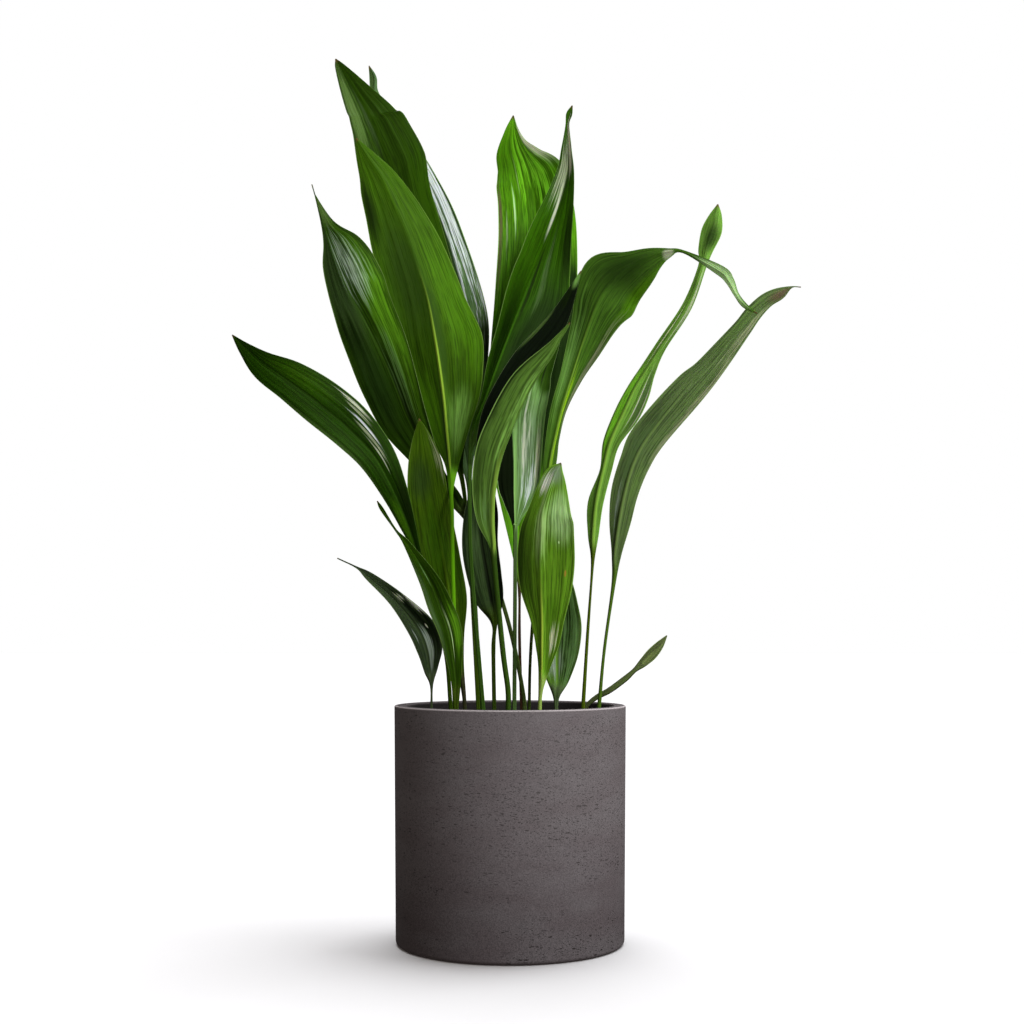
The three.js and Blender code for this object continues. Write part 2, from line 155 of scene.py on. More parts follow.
deselect()
bpy.ops.mesh.primitive_plane_add(size=floor_width)
floor = bpy.context.object
floor.name = "floor"
floor.visible_diffuse = False
floor.visible_glossy = False
floor_material, _, floor_shader = new_material("floor_paper_sheet")
feed(floor_shader, {"Base Color": "#cccdd0", "Roughness": 0.9, "Specular IOR Level": 0.1})
floor.data.materials.append(floor_material)
print("floor:", floor_width, "m wide")

# %% [markdown]
# The key light stands to the right and in front. One high behind on the right rims the
# leaves, a weak one behind on the left fills the far side, and a box of light close by lays a
# broad sheen on the blades. None of them reaches the floor. It has two lamps of its own, one
# overhead and one from the right, so that the shadow round the foot of the pot is set by
# itself: close and dark in front, long and faint to the left.

# %% Lamps
plant_middle = Vector((0, 0, 250 * mm))


def lamp(name, kind, right_of_view, elevation, power, reaches, **own):
    """A lamp so many degrees to the right of the camera: spread for a sun, size and distance
    for a box. reaches is INCLUDE for a lamp of the floor alone and EXCLUDE for one without it."""
    turn, rise = math.radians(right_of_view), math.radians(elevation)
    towards = Vector((math.sin(turn) * math.cos(rise), -math.cos(turn) * math.cos(rise), math.sin(rise)))
    light = bpy.data.lights.new(name, kind)
    light.energy = power
    if kind == "SUN":
        light.angle = math.radians(own["spread"])
    else:
        light.size = own["size"]
    stand = bpy.data.objects.new(name, light)
    stand.location = plant_middle + towards * own.get("distance", 0)
    stand.rotation_euler = towards.to_track_quat("Z", "Y").to_euler()
    bpy.context.collection.objects.link(stand)
    reach = bpy.data.collections.new(name + "_reach")
    reach.objects.link(floor)
    reach.collection_objects[0].light_linking.link_state = reaches
    stand.light_linking.receiver_collection = reach
    print("lamp:", name, power)


lamp("key", "SUN", 42, 32, 3.8, "EXCLUDE", spread=42)
lamp("sky", "SUN", 150, 58, 2.2, "EXCLUDE", spread=40)
lamp("back_fill", "SUN", 225, 34, 0.5, "EXCLUDE", spread=60)
lamp("box", "AREA", 50, 42, 9.0, "EXCLUDE", size=0.6, distance=1.1)
lamp("overhead", "SUN", 178, 75, 3.4, "INCLUDE", spread=42)
lamp("floor_side", "SUN", 102, 55, 2.0, "INCLUDE", spread=50)

# %% [markdown]
# A weak warm dome fills the shadows from all round. Glossy skin would mirror it as a veil, so
# reflections see a darker one, and the camera sees plain white behind the plant.

# %% Dome of light
world = bpy.data.worlds.new("studio")
bpy.context.scene.world = world
world.use_nodes = True
world_node = partial(add, world.node_tree)
dome = world.node_tree.nodes["Background"]
feed(dome, {"Color": "#fff0e4", "Strength": 0.32})
mirrored = world_node("Background", ("#ffffff", 0.05))
backdrop = world_node("Background", ("#ffffff", 1.0))
path = world_node("LightPath")
in_gloss = world_node("MixShader", (path.outputs["Is Glossy Ray"], dome, mirrored))
behind = world_node("MixShader", (path.outputs["Is Camera Ray"], in_gloss, backdrop))
feed(world.node_tree.nodes["World Output"], {"Surface": behind})
bpy.context.scene.view_settings.view_transform = "Standard"
bpy.context.scene.view_settings.look = "None"
print("dome strength:", dome.inputs["Strength"].default_value)

# %% [markdown]
# ## Cover pot
#
# The pot is cast from fibre clay: cement, clay and glass fibre pressed into a mould. It could
# be spun from a profile, but pulling it up from a cylinder is as quick. That needs a way to
# pick a ring of edges, and in a script an edge is picked by where it is.

# %% Pick edges by their place
def to_edit(mode):
    """Go into edit mode with nothing selected, and select faces or edges, as mode says."""
    bpy.ops.object.mode_set(mode="EDIT")
    bpy.ops.mesh.select_mode(type=mode)
    bpy.ops.mesh.select_all(action="DESELECT")


def edges_at(mesh_object, height, least_radius, most_radius):
    """Select the ring of edges at this height and between these distances from the axis."""
    to_edit("EDGE")
    bpy.ops.object.mode_set(mode="OBJECT")
    mesh = mesh_object.data
    for edge in mesh.edges:
        ends = [mesh.vertices[i].co for i in edge.vertices]
        edge.select = all(
            abs(end.z - height) < 0.1 * mm and least_radius < math.hypot(end.x, end.y) < most_radius
            for end in ends)
    bpy.ops.object.mode_set(mode="EDIT")


pot_low, pot_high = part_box("pot")
pot_height = pot_high.z
rim_radius = (pot_high.x - pot_low.x) / 2
print("pot:", round(pot_height / mm), "mm high, rim radius", round(rim_radius / mm), "mm")

# %% [markdown]
# The top face is inset by the wall and pushed down to make the hollow, the foot is drawn in a
# little, and the edges get the small rounds that the mould leaves.

# %% Pot body
foot_radius = rim_radius - 2.5 * mm
pot_wall = 11.5 * mm
pot_floor = 14 * mm
pot_sides = 256
foot_round = 4 * mm
lip_round = 1.4 * mm
hollow_round = 5 * mm
deselect()
bpy.ops.mesh.primitive_cylinder_add(
    vertices=pot_sides, radius=rim_radius, depth=pot_height, location=(0, 0, pot_height / 2))
pot = bpy.context.object
pot.name = "pot_body"
bpy.ops.object.transform_apply(location=True)
to_edit("FACE")
bpy.ops.object.mode_set(mode="OBJECT")
top = max(pot.data.polygons, key=lambda face: face.center.z)
top.select = True
bpy.ops.object.mode_set(mode="EDIT")
bpy.ops.mesh.inset(thickness=pot_wall)
bpy.ops.mesh.extrude_region_move(TRANSFORM_OT_translate={"value": (0, 0, pot_floor - pot_height)})
taper = (foot_radius - pot_wall) / (rim_radius - pot_wall)
bpy.ops.transform.resize(value=(taper, taper, 1))
edges_at(pot, 0, 0.9 * rim_radius, 1.1 * rim_radius)
bpy.ops.transform.resize(value=(foot_radius / rim_radius, foot_radius / rim_radius, 1))
edges_at(pot, 0, 0.9 * rim_radius, 1.1 * rim_radius)
bpy.ops.mesh.bevel(offset=foot_round, segments=6)
edges_at(pot, pot_height, 0.85 * rim_radius, 1.1 * rim_radius)
bpy.ops.mesh.bevel(offset=lip_round, segments=4)
edges_at(pot, pot_floor, 0.8 * rim_radius, 0.95 * rim_radius)
bpy.ops.mesh.bevel(offset=hollow_round, segments=4)
bpy.ops.object.mode_set(mode="OBJECT")
bpy.ops.object.shade_smooth_by_angle(angle=math.radians(40))
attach(pot, "root")
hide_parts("pot")
print("pot faces:", len(pot.data.polygons))

# %% [markdown]
# Fibre clay looks matt and sandy. Air that is caught against the mould leaves small dark pits,
# wider than they are high and ragged at the rim, which gather in level bands and are thickest
# above the middle. They could be cut into the mesh, but there are thousands, so they are drawn
# in the pot's own coordinates with height stretched, which makes each one flat, and shaken a
# little by noise. Three nets of cells make them, about 5, 2.4 and 1.4 mm wide.

# %% Pits of the pot
pot_material, pot_node, pot_shader = new_material("fibre_clay_cast")
on_pot = pot_node("TexCoord").outputs["Object"]
shake = pot_node("TexNoise", {"Vector": on_pot, "Scale": 500.0, "Detail": 2.0})
shaken = pot_node("VectorMath", (
    shake.outputs["Color"], (2.4 * mm, 2.4 * mm, 0.8 * mm), on_pot), multiply_add)
level = pot_node("Mapping", {"Vector": shaken, "Scale": (1.0, 1.0, 3.2)})
place_in_pot = pot_node("SeparateXYZ", (on_pot,))
pot_z = place_in_pot.outputs["Z"]


def pit_layer(cells_per_metre, share, size):
    """Pits in a share of the cells of a net, each with its own size."""
    net = pot_node("TexVoronoi", {"Vector": level, "Scale": cells_per_metre})
    draw = pot_node("SeparateColor", (net.outputs["Color"],))
    chosen = pot_node("MapRange", (draw.outputs["Red"], 1 - share, 1 - share + 0.02), smooth)
    reach = pot_node("Math", (draw.outputs["Green"], size), multiply)
    inside = pot_node("Math", (reach, net.outputs["Distance"]), subtract)
    hollow = pot_node("MapRange", (inside, 0.0, 0.12), smooth)
    return pot_node("Math", (hollow, chosen), multiply)


bands = pot_node("TexNoise", {"Vector": level, "Scale": 9.0, "Detail": 2.0})
in_band = pot_node("MapRange", (bands, 0.42, 0.62, 0.25, 1.0), smooth)
above_middle = pot_node("Math", (pot_z, 0.58 * pot_height), subtract)
from_belt = pot_node("Math", (above_middle,), absolute)
in_belt = pot_node("MapRange", (from_belt, 15 * mm, 60 * mm, 1.0, 0.2), smooth)
crowding = pot_node("Math", (in_band, in_belt), largest)
pits = pot_node("Math", (pit_layer(190, 0.22, 0.5), pit_layer(420, 0.3, 0.55)), largest)
pits = pot_node("Math", (pits, pit_layer(700, 0.25, 0.6)), largest)
pits = pot_node("Math", (pits, crowding), multiply)
print("pit nodes:", len(pot_material.node_tree.nodes))

# %% [markdown]
# Under the pits the clay is two near greys in soft patches, with sand of about 1 mm in it. The
# hollow inside the rim is painted near black, a painted shade, and the rounded outer edge of
# the lip is painted paler, a painted highlight where it catches the light from above.

# %% Pot finish
sand = pot_node("TexNoise", {"Vector": on_pot, "Scale": 900.0, "Detail": 3.0, "Roughness": 0.7})
patch = pot_node("TexNoise", {"Vector": level, "Scale": 14.0, "Detail": 4.0})
patchy = pot_node("MapRange", (patch, 0.3, 0.7), smooth)
clay = pot_node("Mix", (patchy, "#413b3d", "#484446"), mix_colours)
grit = pot_node("MapRange", (sand, 0.34, 0.66, 0.3, 1.4), smooth)
speck = pot_node("CombineColor", (grit, grit, grit))
grained = pot_node("Mix", (0.5, clay, speck), multiply_colours)
# The pits are darkened in the colour as well as sunk in the bump: painted shade inside each pit.
pit_shade = pot_node("Math", (pits, 0.85), multiply)
pitted = pot_node("Mix", (pit_shade, grained, "#15110f"), mix_colours)
flat_place = pot_node("CombineXYZ", (place_in_pot.outputs["X"], place_in_pot.outputs["Y"]))
from_axis = pot_node("VectorMath", (flat_place,), length_of)
hollow_radius = rim_radius - pot_wall
# Painted shade: inside the rim the hollow is painted near black.
within = pot_node("MapRange", (
    from_axis, hollow_radius - 0.5 * mm, hollow_radius + 1.5 * mm, 1.0, 0.0), smooth)
below_rim = pot_node("MapRange", (
    pot_z, pot_height - 2.4 * mm, pot_height - 0.8 * mm, 1.0, 0.0), smooth)
in_hollow = pot_node("Math", (within, below_rim), multiply)
hollow_shaded = pot_node("Mix", (in_hollow, pitted, "#0b0908"), mix_colours)
# Painted highlight: the rounded outer edge of the lip is painted paler, where it catches the light from
# above.
near_top = pot_node("MapRange", (
    pot_z, pot_height - 1.6 * mm, pot_height - 0.5 * mm, 0.1, 0.75), smooth)
near_outside = pot_node("MapRange", (
    from_axis, rim_radius - 2.4 * mm, rim_radius - 0.9 * mm, 0.1, 1.0), smooth)
on_lip = pot_node("Math", (near_top, near_outside), multiply)
lip_highlighted = pot_node("Mix", (on_lip, hollow_shaded, "#989294"), mix_colours)
sand_relief = pot_node("Math", (sand, 0.25), multiply)
relief = pot_node("Math", (sand_relief, pits), subtract)
pot_bump = pot_node("Bump", {"Strength": 0.8, "Distance": 0.5 * mm, "Height": relief})
feed(pot_shader, {
    "Base Color": lip_highlighted, "Roughness": 0.85, "Specular IOR Level": 0.12, "Normal": pot_bump})
pot.data.materials.append(pot_material)
print("pot nodes:", len(pot_material.node_tree.nodes))

# %% [markdown]
# ## Soil
#
# The soil is loose and crumbly, a little lower at the wall than in the middle. A flat disc
# would give it away from above, and a picture of a relief has to be drawn first, so noise says
# how high each place lies. Crumbs and bark ask the same function where to lie.

# %% Height of the soil
soil_low, soil_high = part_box("soil")
soil_radius = (soil_high.x - soil_low.x) / 2
soil_top = 200 * mm
soil_dish = 4 * mm
crumb_height = 1.6 * mm


def soil_level(x, y):
    """The height of the soil's surface here: lumps and crumbs, calm at the wall, and the dish."""
    radius = math.hypot(x, y)
    spot = Vector((x, y, soil_top))
    lumps = noise.fractal(spot * 45, 1.0, 2.0, 4) + 0.6 * noise.noise(spot * 260)
    calm = min(1.0, (soil_radius - radius) / (6 * mm))
    return soil_top + crumb_height * lumps * calm - soil_dish * (radius / soil_radius) ** 6


print("soil level in the middle:", round(soil_level(0, 0) / mm, 1), "mm")

# %% [markdown]
# The top of a cylinder is taken off and built up again from its edge, ring by ring, so that
# there are enough points to lift.

# %% Soil bed
soil_rings = 48
soil_middle = 0.4
deselect()
bpy.ops.mesh.primitive_cylinder_add(
    vertices=160, radius=soil_radius, depth=soil_top - soil_low.z,
    location=(0, 0, (soil_top + soil_low.z) / 2), end_fill_type="TRIFAN")
soil = bpy.context.object
soil.name = "soil_bed"
bpy.ops.object.transform_apply(location=True)
to_edit("FACE")
bpy.ops.object.mode_set(mode="OBJECT")
for face in soil.data.polygons:
    face.select = face.center.z > soil_top - 0.1 * mm
bpy.ops.object.mode_set(mode="EDIT")
bpy.ops.mesh.delete(type="FACE")
edges_at(soil, soil_top, 0.9 * soil_radius, 1.1 * soil_radius)
for ring in range(soil_rings, 0, -1):
    bpy.ops.mesh.extrude_edges_move()
    shrink = (ring - 1 + soil_middle) / (ring + soil_middle)
    bpy.ops.transform.resize(value=(shrink, shrink, 1), center_override=(0, 0, 0))
bpy.ops.mesh.edge_face_add()
bpy.ops.object.mode_set(mode="OBJECT")
for vertex in soil.data.vertices:
    if vertex.co.z > soil_top - 0.1 * mm:
        vertex.co.z = soil_level(vertex.co.x, vertex.co.y)
bpy.ops.object.shade_smooth()
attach(soil, "root")
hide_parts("soil")
print("soil faces:", len(soil.data.polygons))

# %% [markdown]
# Moist potting soil is nearly black with brown crumbs of about 2 mm, and so matt that it
# hardly shines. Bark and dry sheaths, which come later, are mottled in the same way, so one
# function mixes two tones by noise for all three.

# %% Soil finish
def mottled(name, stretch, detail, grain, dark_at, dark, light_at, light, roughness):
    """A material of two tones in grains. stretch counts the grains in a metre along each axis."""
    material, node, shader = new_material(name)
    spread = node("Mapping", {"Vector": node("TexCoord").outputs["Object"], "Scale": stretch})
    grains = node("TexNoise", {"Vector": spread, "Scale": 1.0, "Detail": detail, "Roughness": grain})
    tones_of_grain = node("ValToRGB", (grains,))
    for stop, at, tone in zip(tones_of_grain.color_ramp.elements, (dark_at, light_at), (dark, light)):
        stop.position = at
        stop.color = linear(tone)
    feed(shader, {"Base Color": tones_of_grain, "Roughness": roughness})
    print(name, stretch)
    return material, node, shader, grains


soil_material, soil_node, soil_shader, soil_grain = mottled(
    "potting_soil_moist", (420.0, 420.0, 420.0), 5.0, 0.7, 0.32, "#0d0906", 0.72, "#3a2a1d", 0.95)
soil_bump = soil_node("Bump", {"Strength": 0.9, "Distance": 0.8 * mm, "Height": soil_grain})
feed(soil_shader, {"Normal": soil_bump})
soil.data.materials.append(soil_material)

# %% [markdown]
# ## The leaves, station by station
#
# Each station is side, up, back, left half width, right half width and turn, in millimetres
# and degrees, close to the numbers that the plain model was drawn from. Side and up place the
# midrib in the upright plane through the pot's middle, and back moves it away from the viewer
# along the line of sight. On a stalk both halves are alike and nothing turns, so four numbers
# are enough. Seen says which face the front view shows, fold is the angle at which each half
# leaves the midrib, and curl how far it bends on its way to the edge, both in degrees.

# %% Stations of the leaves
leaves = []


def leaf_plan(name, colour, seen, fold, curl, stations):
    """Note a leaf's plan, with its short stations written out in full."""
    full = [(*row, row[3], 0) if len(row) == 4 else row for row in stations]
    leaves.append({
        "name": "leaf_" + name, "slot": "leaf_" + colour, "seen": seen, "fold": fold, "curl": curl,
        "stations": full})


leaf_plan("tall_left", "deep_green", seen="upper", fold=22, curl=-14, stations=[
    (-30, 212, 6, 2), (-35, 303, 8, 2), (-39, 370, 14, 2), (-44, 423, 28, 2), (-50, 455, 36, 5),
    (-59, 491, 45, 22.5), (-70, 540, 58, 34.5), (-83, 603, 72, 40.5, 39.5, -2),
    (-97, 663, 84, 38, 38, -6), (-111, 712, 93, 36.5, 37.5, -13), (-124, 746, 100, 31, 46, -21),
    (-136, 777, 106, 23, 42.5, -25), (-142, 791, 109, 20, 38.5, -26), (-147, 804, 111, 19, 28, -25),
    (-166, 843, 118, 7, 7, -18), (-172, 854, 120, 0.5, 0.5, -10)])
leaf_plan("broad_front", "fresh_green", seen="under", fold=20, curl=-10, stations=[
    (-51, 212, -45, 2), (-55, 351, -42, 2), (-56, 404, -38, 2), (-57, 428, -28, 2.5, 2.5, 5),
    (-58, 455, -10, 6, 9.5, 12), (-61, 486, 1, 20.5, 22, 15), (-64, 515, 10, 31.5, 35, 15),
    (-68, 545, 18, 42, 43, 11), (-73, 576, 24, 44, 47.5, 3), (-80, 613, 30, 42, 40, -7),
    (-89, 643, 34, 40, 38.5, -15), (-100, 677, 38, 38.5, 35, -20), (-113, 708, 42, 31.5, 29, -23),
    (-125, 734, 45, 25, 18.5, -23), (-140, 756, 48, 12, 9.5, -18), (-151, 774, 50, 0.5, 0.5, -10)])
leaf_plan("glossy_left", "silver_green", seen="upper", fold=18, curl=-12, stations=[
    (14, 212, -2, 2), (12, 236, -1, 2), (-1, 298, 0, 2), (-24, 370, 8, 2), (-40, 398, 5, 3),
    (-53, 419, 2, 7.5, 7.5, 16), (-68, 442, 0, 12.5, 7, 20), (-83, 467, -8, 19, 14.5, 24),
    (-99, 498, -13, 28.5, 22.5, 24), (-112, 531, -14, 32, 26.5, 18), (-127, 566, -14, 31.5, 29, 5),
    (-143, 598, -15, 29, 31.5, -11), (-157, 623, -16, 24, 37.5, -21), (-168, 649, -18, 18, 36, -26),
    (-176, 670, -20, 7.5, 27.5, -25), (-182, 689, -22, 3, 10, -18), (-191, 718, -25, 0.5, 0.5, -8),
    (-194, 728, -26, 0.5, 0.5, -2)])
leaf_plan("leaning_left", "silver_green", seen="upper", fold=16, curl=-22, stations=[
    (-56, 212, -30, 2), (-63, 279, -34, 2), (-87, 360, -60, 3.5, 3.5, 7), (-99, 396, -70, 8, 7.5, 2),
    (-114, 430, -78, 12.5, 14, -11), (-131, 460, -83, 17.5, 20.5, -23), (-155, 486, -88, 21, 25.5, -26),
    (-183, 510, -93, 21.5, 26, -24), (-212, 532, -98, 18, 20.5, -13), (-238, 550, -102, 14.5, 12, 4),
    (-257, 567, -105, 7.5, 4.5, 12), (-270, 579, -108, 0.5, 0.5, 9)])
leaf_plan("silver_back", "silver_green", seen="upper", fold=18, curl=-16, stations=[
    (-26, 212, 18, 2), (-32, 293, 22, 2), (-38, 408, 46, 2), (-41, 447, 56, 5, 5, -1),
    (-47, 484, 66, 19, 18.5, -5), (-54, 530, 78, 30.5, 33, -10), (-65, 584, 92, 45.5, 48, -14),
    (-77, 633, 104, 45.5, 48, -15), (-92, 688, 116, 41.5, 43.5, -15), (-108, 740, 126, 32, 33, -16),
    (-123, 787, 134, 14.5, 15.5, -17), (-134, 818, 138, 4.5, 6, -15), (-135, 835, 140, 4, 4, -8),
    (-139, 847, 142, 0.5, 0.5, -2)])
leaf_plan("olive_low", "dull_green", seen="under", fold=14, curl=-10, stations=[
    (-43, 212, -22, 2), (-44, 231, -23, 2), (-48, 260, -23, 4, 4, -4), (-52, 288, -24, 10.5, 8.5, -8),
    (-58, 322, -27, 19, 18, -14), (-64, 360, -31, 24, 18.5, -21), (-70, 394, -34, 25.5, 18, -25),
    (-76, 428, -40, 23.5, 18.5, -26), (-80, 455, -45, 19, 16, -25), (-84, 478, -49, 10.5, 8.5, -18),
    (-88, 497, -52, 0.5, 0.5, -10)])
leaf_plan("bright_back", "bright_green", seen="upper", fold=12, curl=-6, stations=[
    (11, 212, 30, 1.5), (9, 284, 33, 1.5), (9, 327, 40, 1.5), (8, 360, 49, 5), (9, 447, 74, 27.5),
    (13, 505, 90, 37.5, 37.5, -1), (19, 564, 106, 41.5, 41, -3), (24, 623, 118, 42.5, 44, -6),
    (26, 678, 130, 41.5, 42.5, -4), (24, 712, 138, 39.5, 40.5, 5), (20, 735, 143, 38.5, 38.5, 16),
    (15, 752, 148, 35, 21.5, 24), (9, 767, 152, 29, 10, 24), (5, 782, 156, 13.5, 4, 18),
    (3, 797, 160, 0.5, 0.5, 10)])
leaf_plan("folded_centre", "deep_green", seen="upper", fold=32, curl=-10, stations=[
    (-25, 212, -28, 2), (-37, 351, -31, 2), (-39, 408, -30, 2), (-39, 442, -24, 2), (-38, 469, -4, 3),
    (-33, 494, 12, 6, 14, -35), (-23, 520, 29, 12.5, 26, -35), (-10, 556, 48, 26.5, 40.5, -35),
    (13, 616, 72, 39.5, 49.5, -34), (25, 647, 82, 35, 38, -28), (36, 675, 90, 25.5, 26.5, -14),
    (48, 709, 98, 17, 17, 6), (56, 740, 104, 11.5, 10, 25), (57, 764, 107, 7.5, 5, 25),
    (56, 787, 110, 2, 2.5, 11), (58, 798, 111, 3.5, 3.5, 5), (61, 807, 112, 0.5, 0.5, 2)])
leaf_plan("curved_centre", "fresh_green", seen="under", fold=40, curl=-8, stations=[
    (-2, 212, -52, 2.5), (-2, 236, -54, 2.5), (-7, 274, -56, 2.5), (-15, 355, -64, 2.5),
    (-16, 375, -66, 4.5, 4.5, -35), (-17, 397, -68, 14, 4.5, -35), (-16, 423, -71, 19.5, 5, -35),
    (-11, 454, -74, 23, 5, -35), (-2, 480, -77, 24, 5, -35), (18, 526, -82, 20, 5, -35),
    (40, 559, -86, 11, 4, -35), (48, 575, -88, 4.5, 3.5, -35), (58, 591, -90, 0.5)])
leaf_plan("silver_centre", "silver_green", seen="upper", fold=14, curl=-16, stations=[
    (4, 212, -18, 2), (5, 375, -21, 2), (5, 395, -20, 3.5, 4, -15), (5, 415, -19, 12, 15.5, -15),
    (5, 437, -18, 18.5, 23.5, -15), (6, 496, -17, 18.5, 27.5, -15), (11, 520, -18, 18.5, 26.5, -15),
    (18, 542, -15, 16.5, 24.5, -15), (29, 559, -9, 12.5, 17.5, -15), (41, 574, 0, 6, 9, -11),
    (49, 583, 6, 0.5, 0.5, -4)])
leaf_plan("shaded_centre", "deep_green", seen="upper", fold=12, curl=-8, stations=[
    (-15, 212, -12, 2), (-16, 274, -11, 2), (-15, 299, -10, 3), (-18, 322, -8, 15.5, 12.5, 15),
    (-22, 346, -5, 19.5, 14.5, 11), (-27, 375, -3, 19.5, 15.5, 0), (-30, 404, -1, 15, 18.5, -11),
    (-30, 433, -2, 8, 15, -15), (-26, 467, -29, 8, 13, -15), (-17, 501, -41, 11, 14, -15),
    (-2, 531, -44, 11.5, 13.5, -11), (16, 556, -46, 12.5, 12.5, -4), (35, 578, -48, 11.5),
    (50, 600, -50, 8.5), (69, 642, -55, 0.5)])
leaf_plan("broad_right", "fresh_green", seen="under", fold=14, curl=-14, stations=[
    (28, 212, -60, 2), (29, 234, -63, 2), (31, 255, -66, 4.5, 6.5, 26), (31, 279, -72, 7.5, 15.5, 26),
    (31, 303, -78, 13.5, 21, 26), (30, 331, -84, 23, 28.5, 26), (29, 360, -90, 25, 32.5, 26),
    (30, 389, -96, 22, 31.5, 26), (32, 410, -100, 14.5, 27.5, 25), (42, 441, -106, 10, 11.5, 18),
    (49, 454, -108, 0.5, 0.5, 10)])
leaf_plan("low_right", "fresh_green", seen="upper", fold=16, curl=-16, stations=[
    (44, 212, -32, 1.5), (44, 229, -34, 3), (45, 246, -36, 10.5, 11.5, -9),
    (45, 269, -38, 19, 19.5, -4), (46, 298, -41, 22.5, 22.5, 7), (47, 325, -44, 22, 18, 19),
    (46, 351, -46, 18.5, 12, 23), (44, 375, -48, 11.5, 10, 18), (41, 399, -50, 0.5, 0.5, 10)])
leaf_plan("narrow_right", "dull_green", seen="under", fold=30, curl=-10, stations=[
    (69, 212, -12, 2), (74, 288, -14, 1.5), (79, 355, -21, 1.5), (80, 384, -24, 5.5, 5.5, -3),
    (83, 415, -28, 9, 7, 3), (90, 447, -32, 4, 8, 11), (97, 474, -36, 9.5, 9, 17),
    (110, 503, -40, 12, 15.5, 22), (121, 526, -42, 10.5, 15, 24), (133, 546, -44, 8.5, 9, 20),
    (147, 568, -45, 7, 5, 12), (172, 607, -48, 5.5, 5, 6), (187, 647, -46, 4, 4.5, 4),
    (191, 663, -44, 8, 7, 3), (197, 683, -42, 10.5, 10.5, 2), (201, 698, -40, 6.5, 6.5, 2),
    (203, 708, -38, 0.5, 0.5, 1)])
leaf_plan("wide_right", "dull_green", seen="under", fold=16, curl=-10, stations=[
    (84, 212, 6, 2), (90, 274, 8, 1.5), (99, 336, 12, 2, 2, 15), (101, 365, 15, 4, 6, 21),
    (105, 396, 18, 10.5, 11, 13), (111, 426, 22, 14.5, 13, 5), (120, 455, 26, 15, 16, 4),
    (135, 481, 30, 19, 17, 10), (172, 527, 38, 16.5, 19, 17), (191, 547, 42, 13.5, 16.5, 22),
    (223, 585, 50, 9, 11.5, 19), (236, 600, 53, 9, 9, 9), (250, 612, 56, 9, 6.5, 4),
    (263, 620, 58, 6.5, 6, 7), (274, 626, 60, 1, 1, 6), (283, 626, 60, 0.5, 0.5, 2)])
leaf_plan("small_left", "deep_green", seen="upper", fold=24, curl=-12, stations=[
    (-75, 212, -24, 1.5), (-75, 240, -26, 1.5), (-77, 257, -28, 7.5, 8.5, -24),
    (-81, 276, -32, 11, 17, -25), (-89, 294, -36, 12, 17, -25), (-111, 322, -43, 7.5, 9.5, -23),
    (-136, 344, -49, 3.5, 5, -17), (-147, 353, -52, 1, 1, -8), (-166, 362, -54, 0.5, 0.5, -2)])
leaf_plan("narrow_left", "fresh_green", seen="upper", fold=18, curl=-12, stations=[
    (-52, 212, -64, 2), (-52, 246, -68, 5, 5, -21), (-58, 288, -80, 10.5, 12, -22),
    (-67, 315, -88, 12, 12, -15), (-77, 341, -96, 10, 8.5, -2), (-99, 376, -106, 3.5, 3, 9),
    (-110, 389, -110, 1, 1, 12), (-123, 409, -116, 2, 1.5, 10), (-128, 417, -118, 0.5, 0.5, 7)])
leaf_plan("small_right", "deep_green", seen="upper", fold=24, curl=-10, stations=[
    (70, 212, 26, 1.5), (73, 221, 27, 2), (82, 229, 29, 2.5), (95, 236, 30, 3), (110, 247, 36, 3),
    (119, 255, 40, 2.4), (127, 262, 44, 4.6), (135, 270, 48, 5.8, 5.8, -3),
    (143, 279, 53, 4.2, 4.2, -6), (150, 288, 58, 0.5)])
leaf_plan("arching_right", "fresh_green", seen="under", fold=14, curl=-12, stations=[
    (18, 212, -16, 1.5), (20, 279, -17, 1.5), (29, 384, -20, 2), (38, 452, -24, 6, 6.5, -10),
    (43, 478, -26, 8.5, 5, -17), (50, 507, -28, 10.5, 5.5, -17), (60, 539, -30, 11.5, 11, -3),
    (69, 566, -32, 15.5, 19, 15), (78, 592, -34, 21, 26.5, 22), (87, 614, -38, 29, 35, 20),
    (101, 633, -42, 33, 32.5, 16), (119, 648, -48, 16, 27.5, 20), (136, 657, -53, 8.5, 20.5, 23),
    (154, 661, -58, 3.5, 6.5, 16), (169, 661, -61, 1.5), (204, 642, -72, 5.5, 4.5, -15),
    (213, 632, -76, 5, 3.5, -16), (220, 619, -79, 2.5, 2.5, -8), (228, 608, -81, 2.5, 2.5, -2),
    (240, 600, -83, 0.5)])
print("leaves:", len(leaves))

# %% [markdown]
# ## How a leaf grows here
#
# A leaf of this plant is a long blade on a thin round stalk, and both are one piece. It could
# be sculpted, but nineteen leaves are quicker to describe by stations: at each one, where the
# midrib is, how wide the two halves are and how far they turn. A smooth curve runs through the
# stations, and the skin is laid round it.

# %% Smooth values through the stations
eye = np.array(view_point)


def place(side, up, back):
    """The midrib's place: laid out in the plane through the pot, then pushed back along the view."""
    in_plane = np.array([side, 0.0, up]) * mm
    return eye + (in_plane - eye) * (view_distance + back * mm) / view_distance


def through(points, t):
    """A smooth curve through the points at station t, which may fall between two of them."""
    last = len(points) - 1
    first = min(int(t), last - 1)
    share = t - first
    p1, p2 = points[first], points[first + 1]
    p0 = points[first - 1] if first > 0 else 2 * p1 - p2
    p3 = points[first + 2] if first + 2 <= last else 2 * p2 - p1
    slope1, slope2 = (p2 - p0) / 2, (p3 - p1) / 2
    cubic = 2 * p1 - 2 * p2 + slope1 + slope2
    square = -3 * p1 + 3 * p2 - 2 * slope1 - slope2
    return cubic * share ** 3 + square * share ** 2 + slope1 * share + p1


def unit(vector):
    return vector / np.linalg.norm(vector)


def smooth_step(value):
    value = np.clip(value, 0, 1)
    return value * value * (3 - 2 * value)


print("tallest tip:", round(max(place(*leaf["stations"][-1][:3])[2] for leaf in leaves), 3))

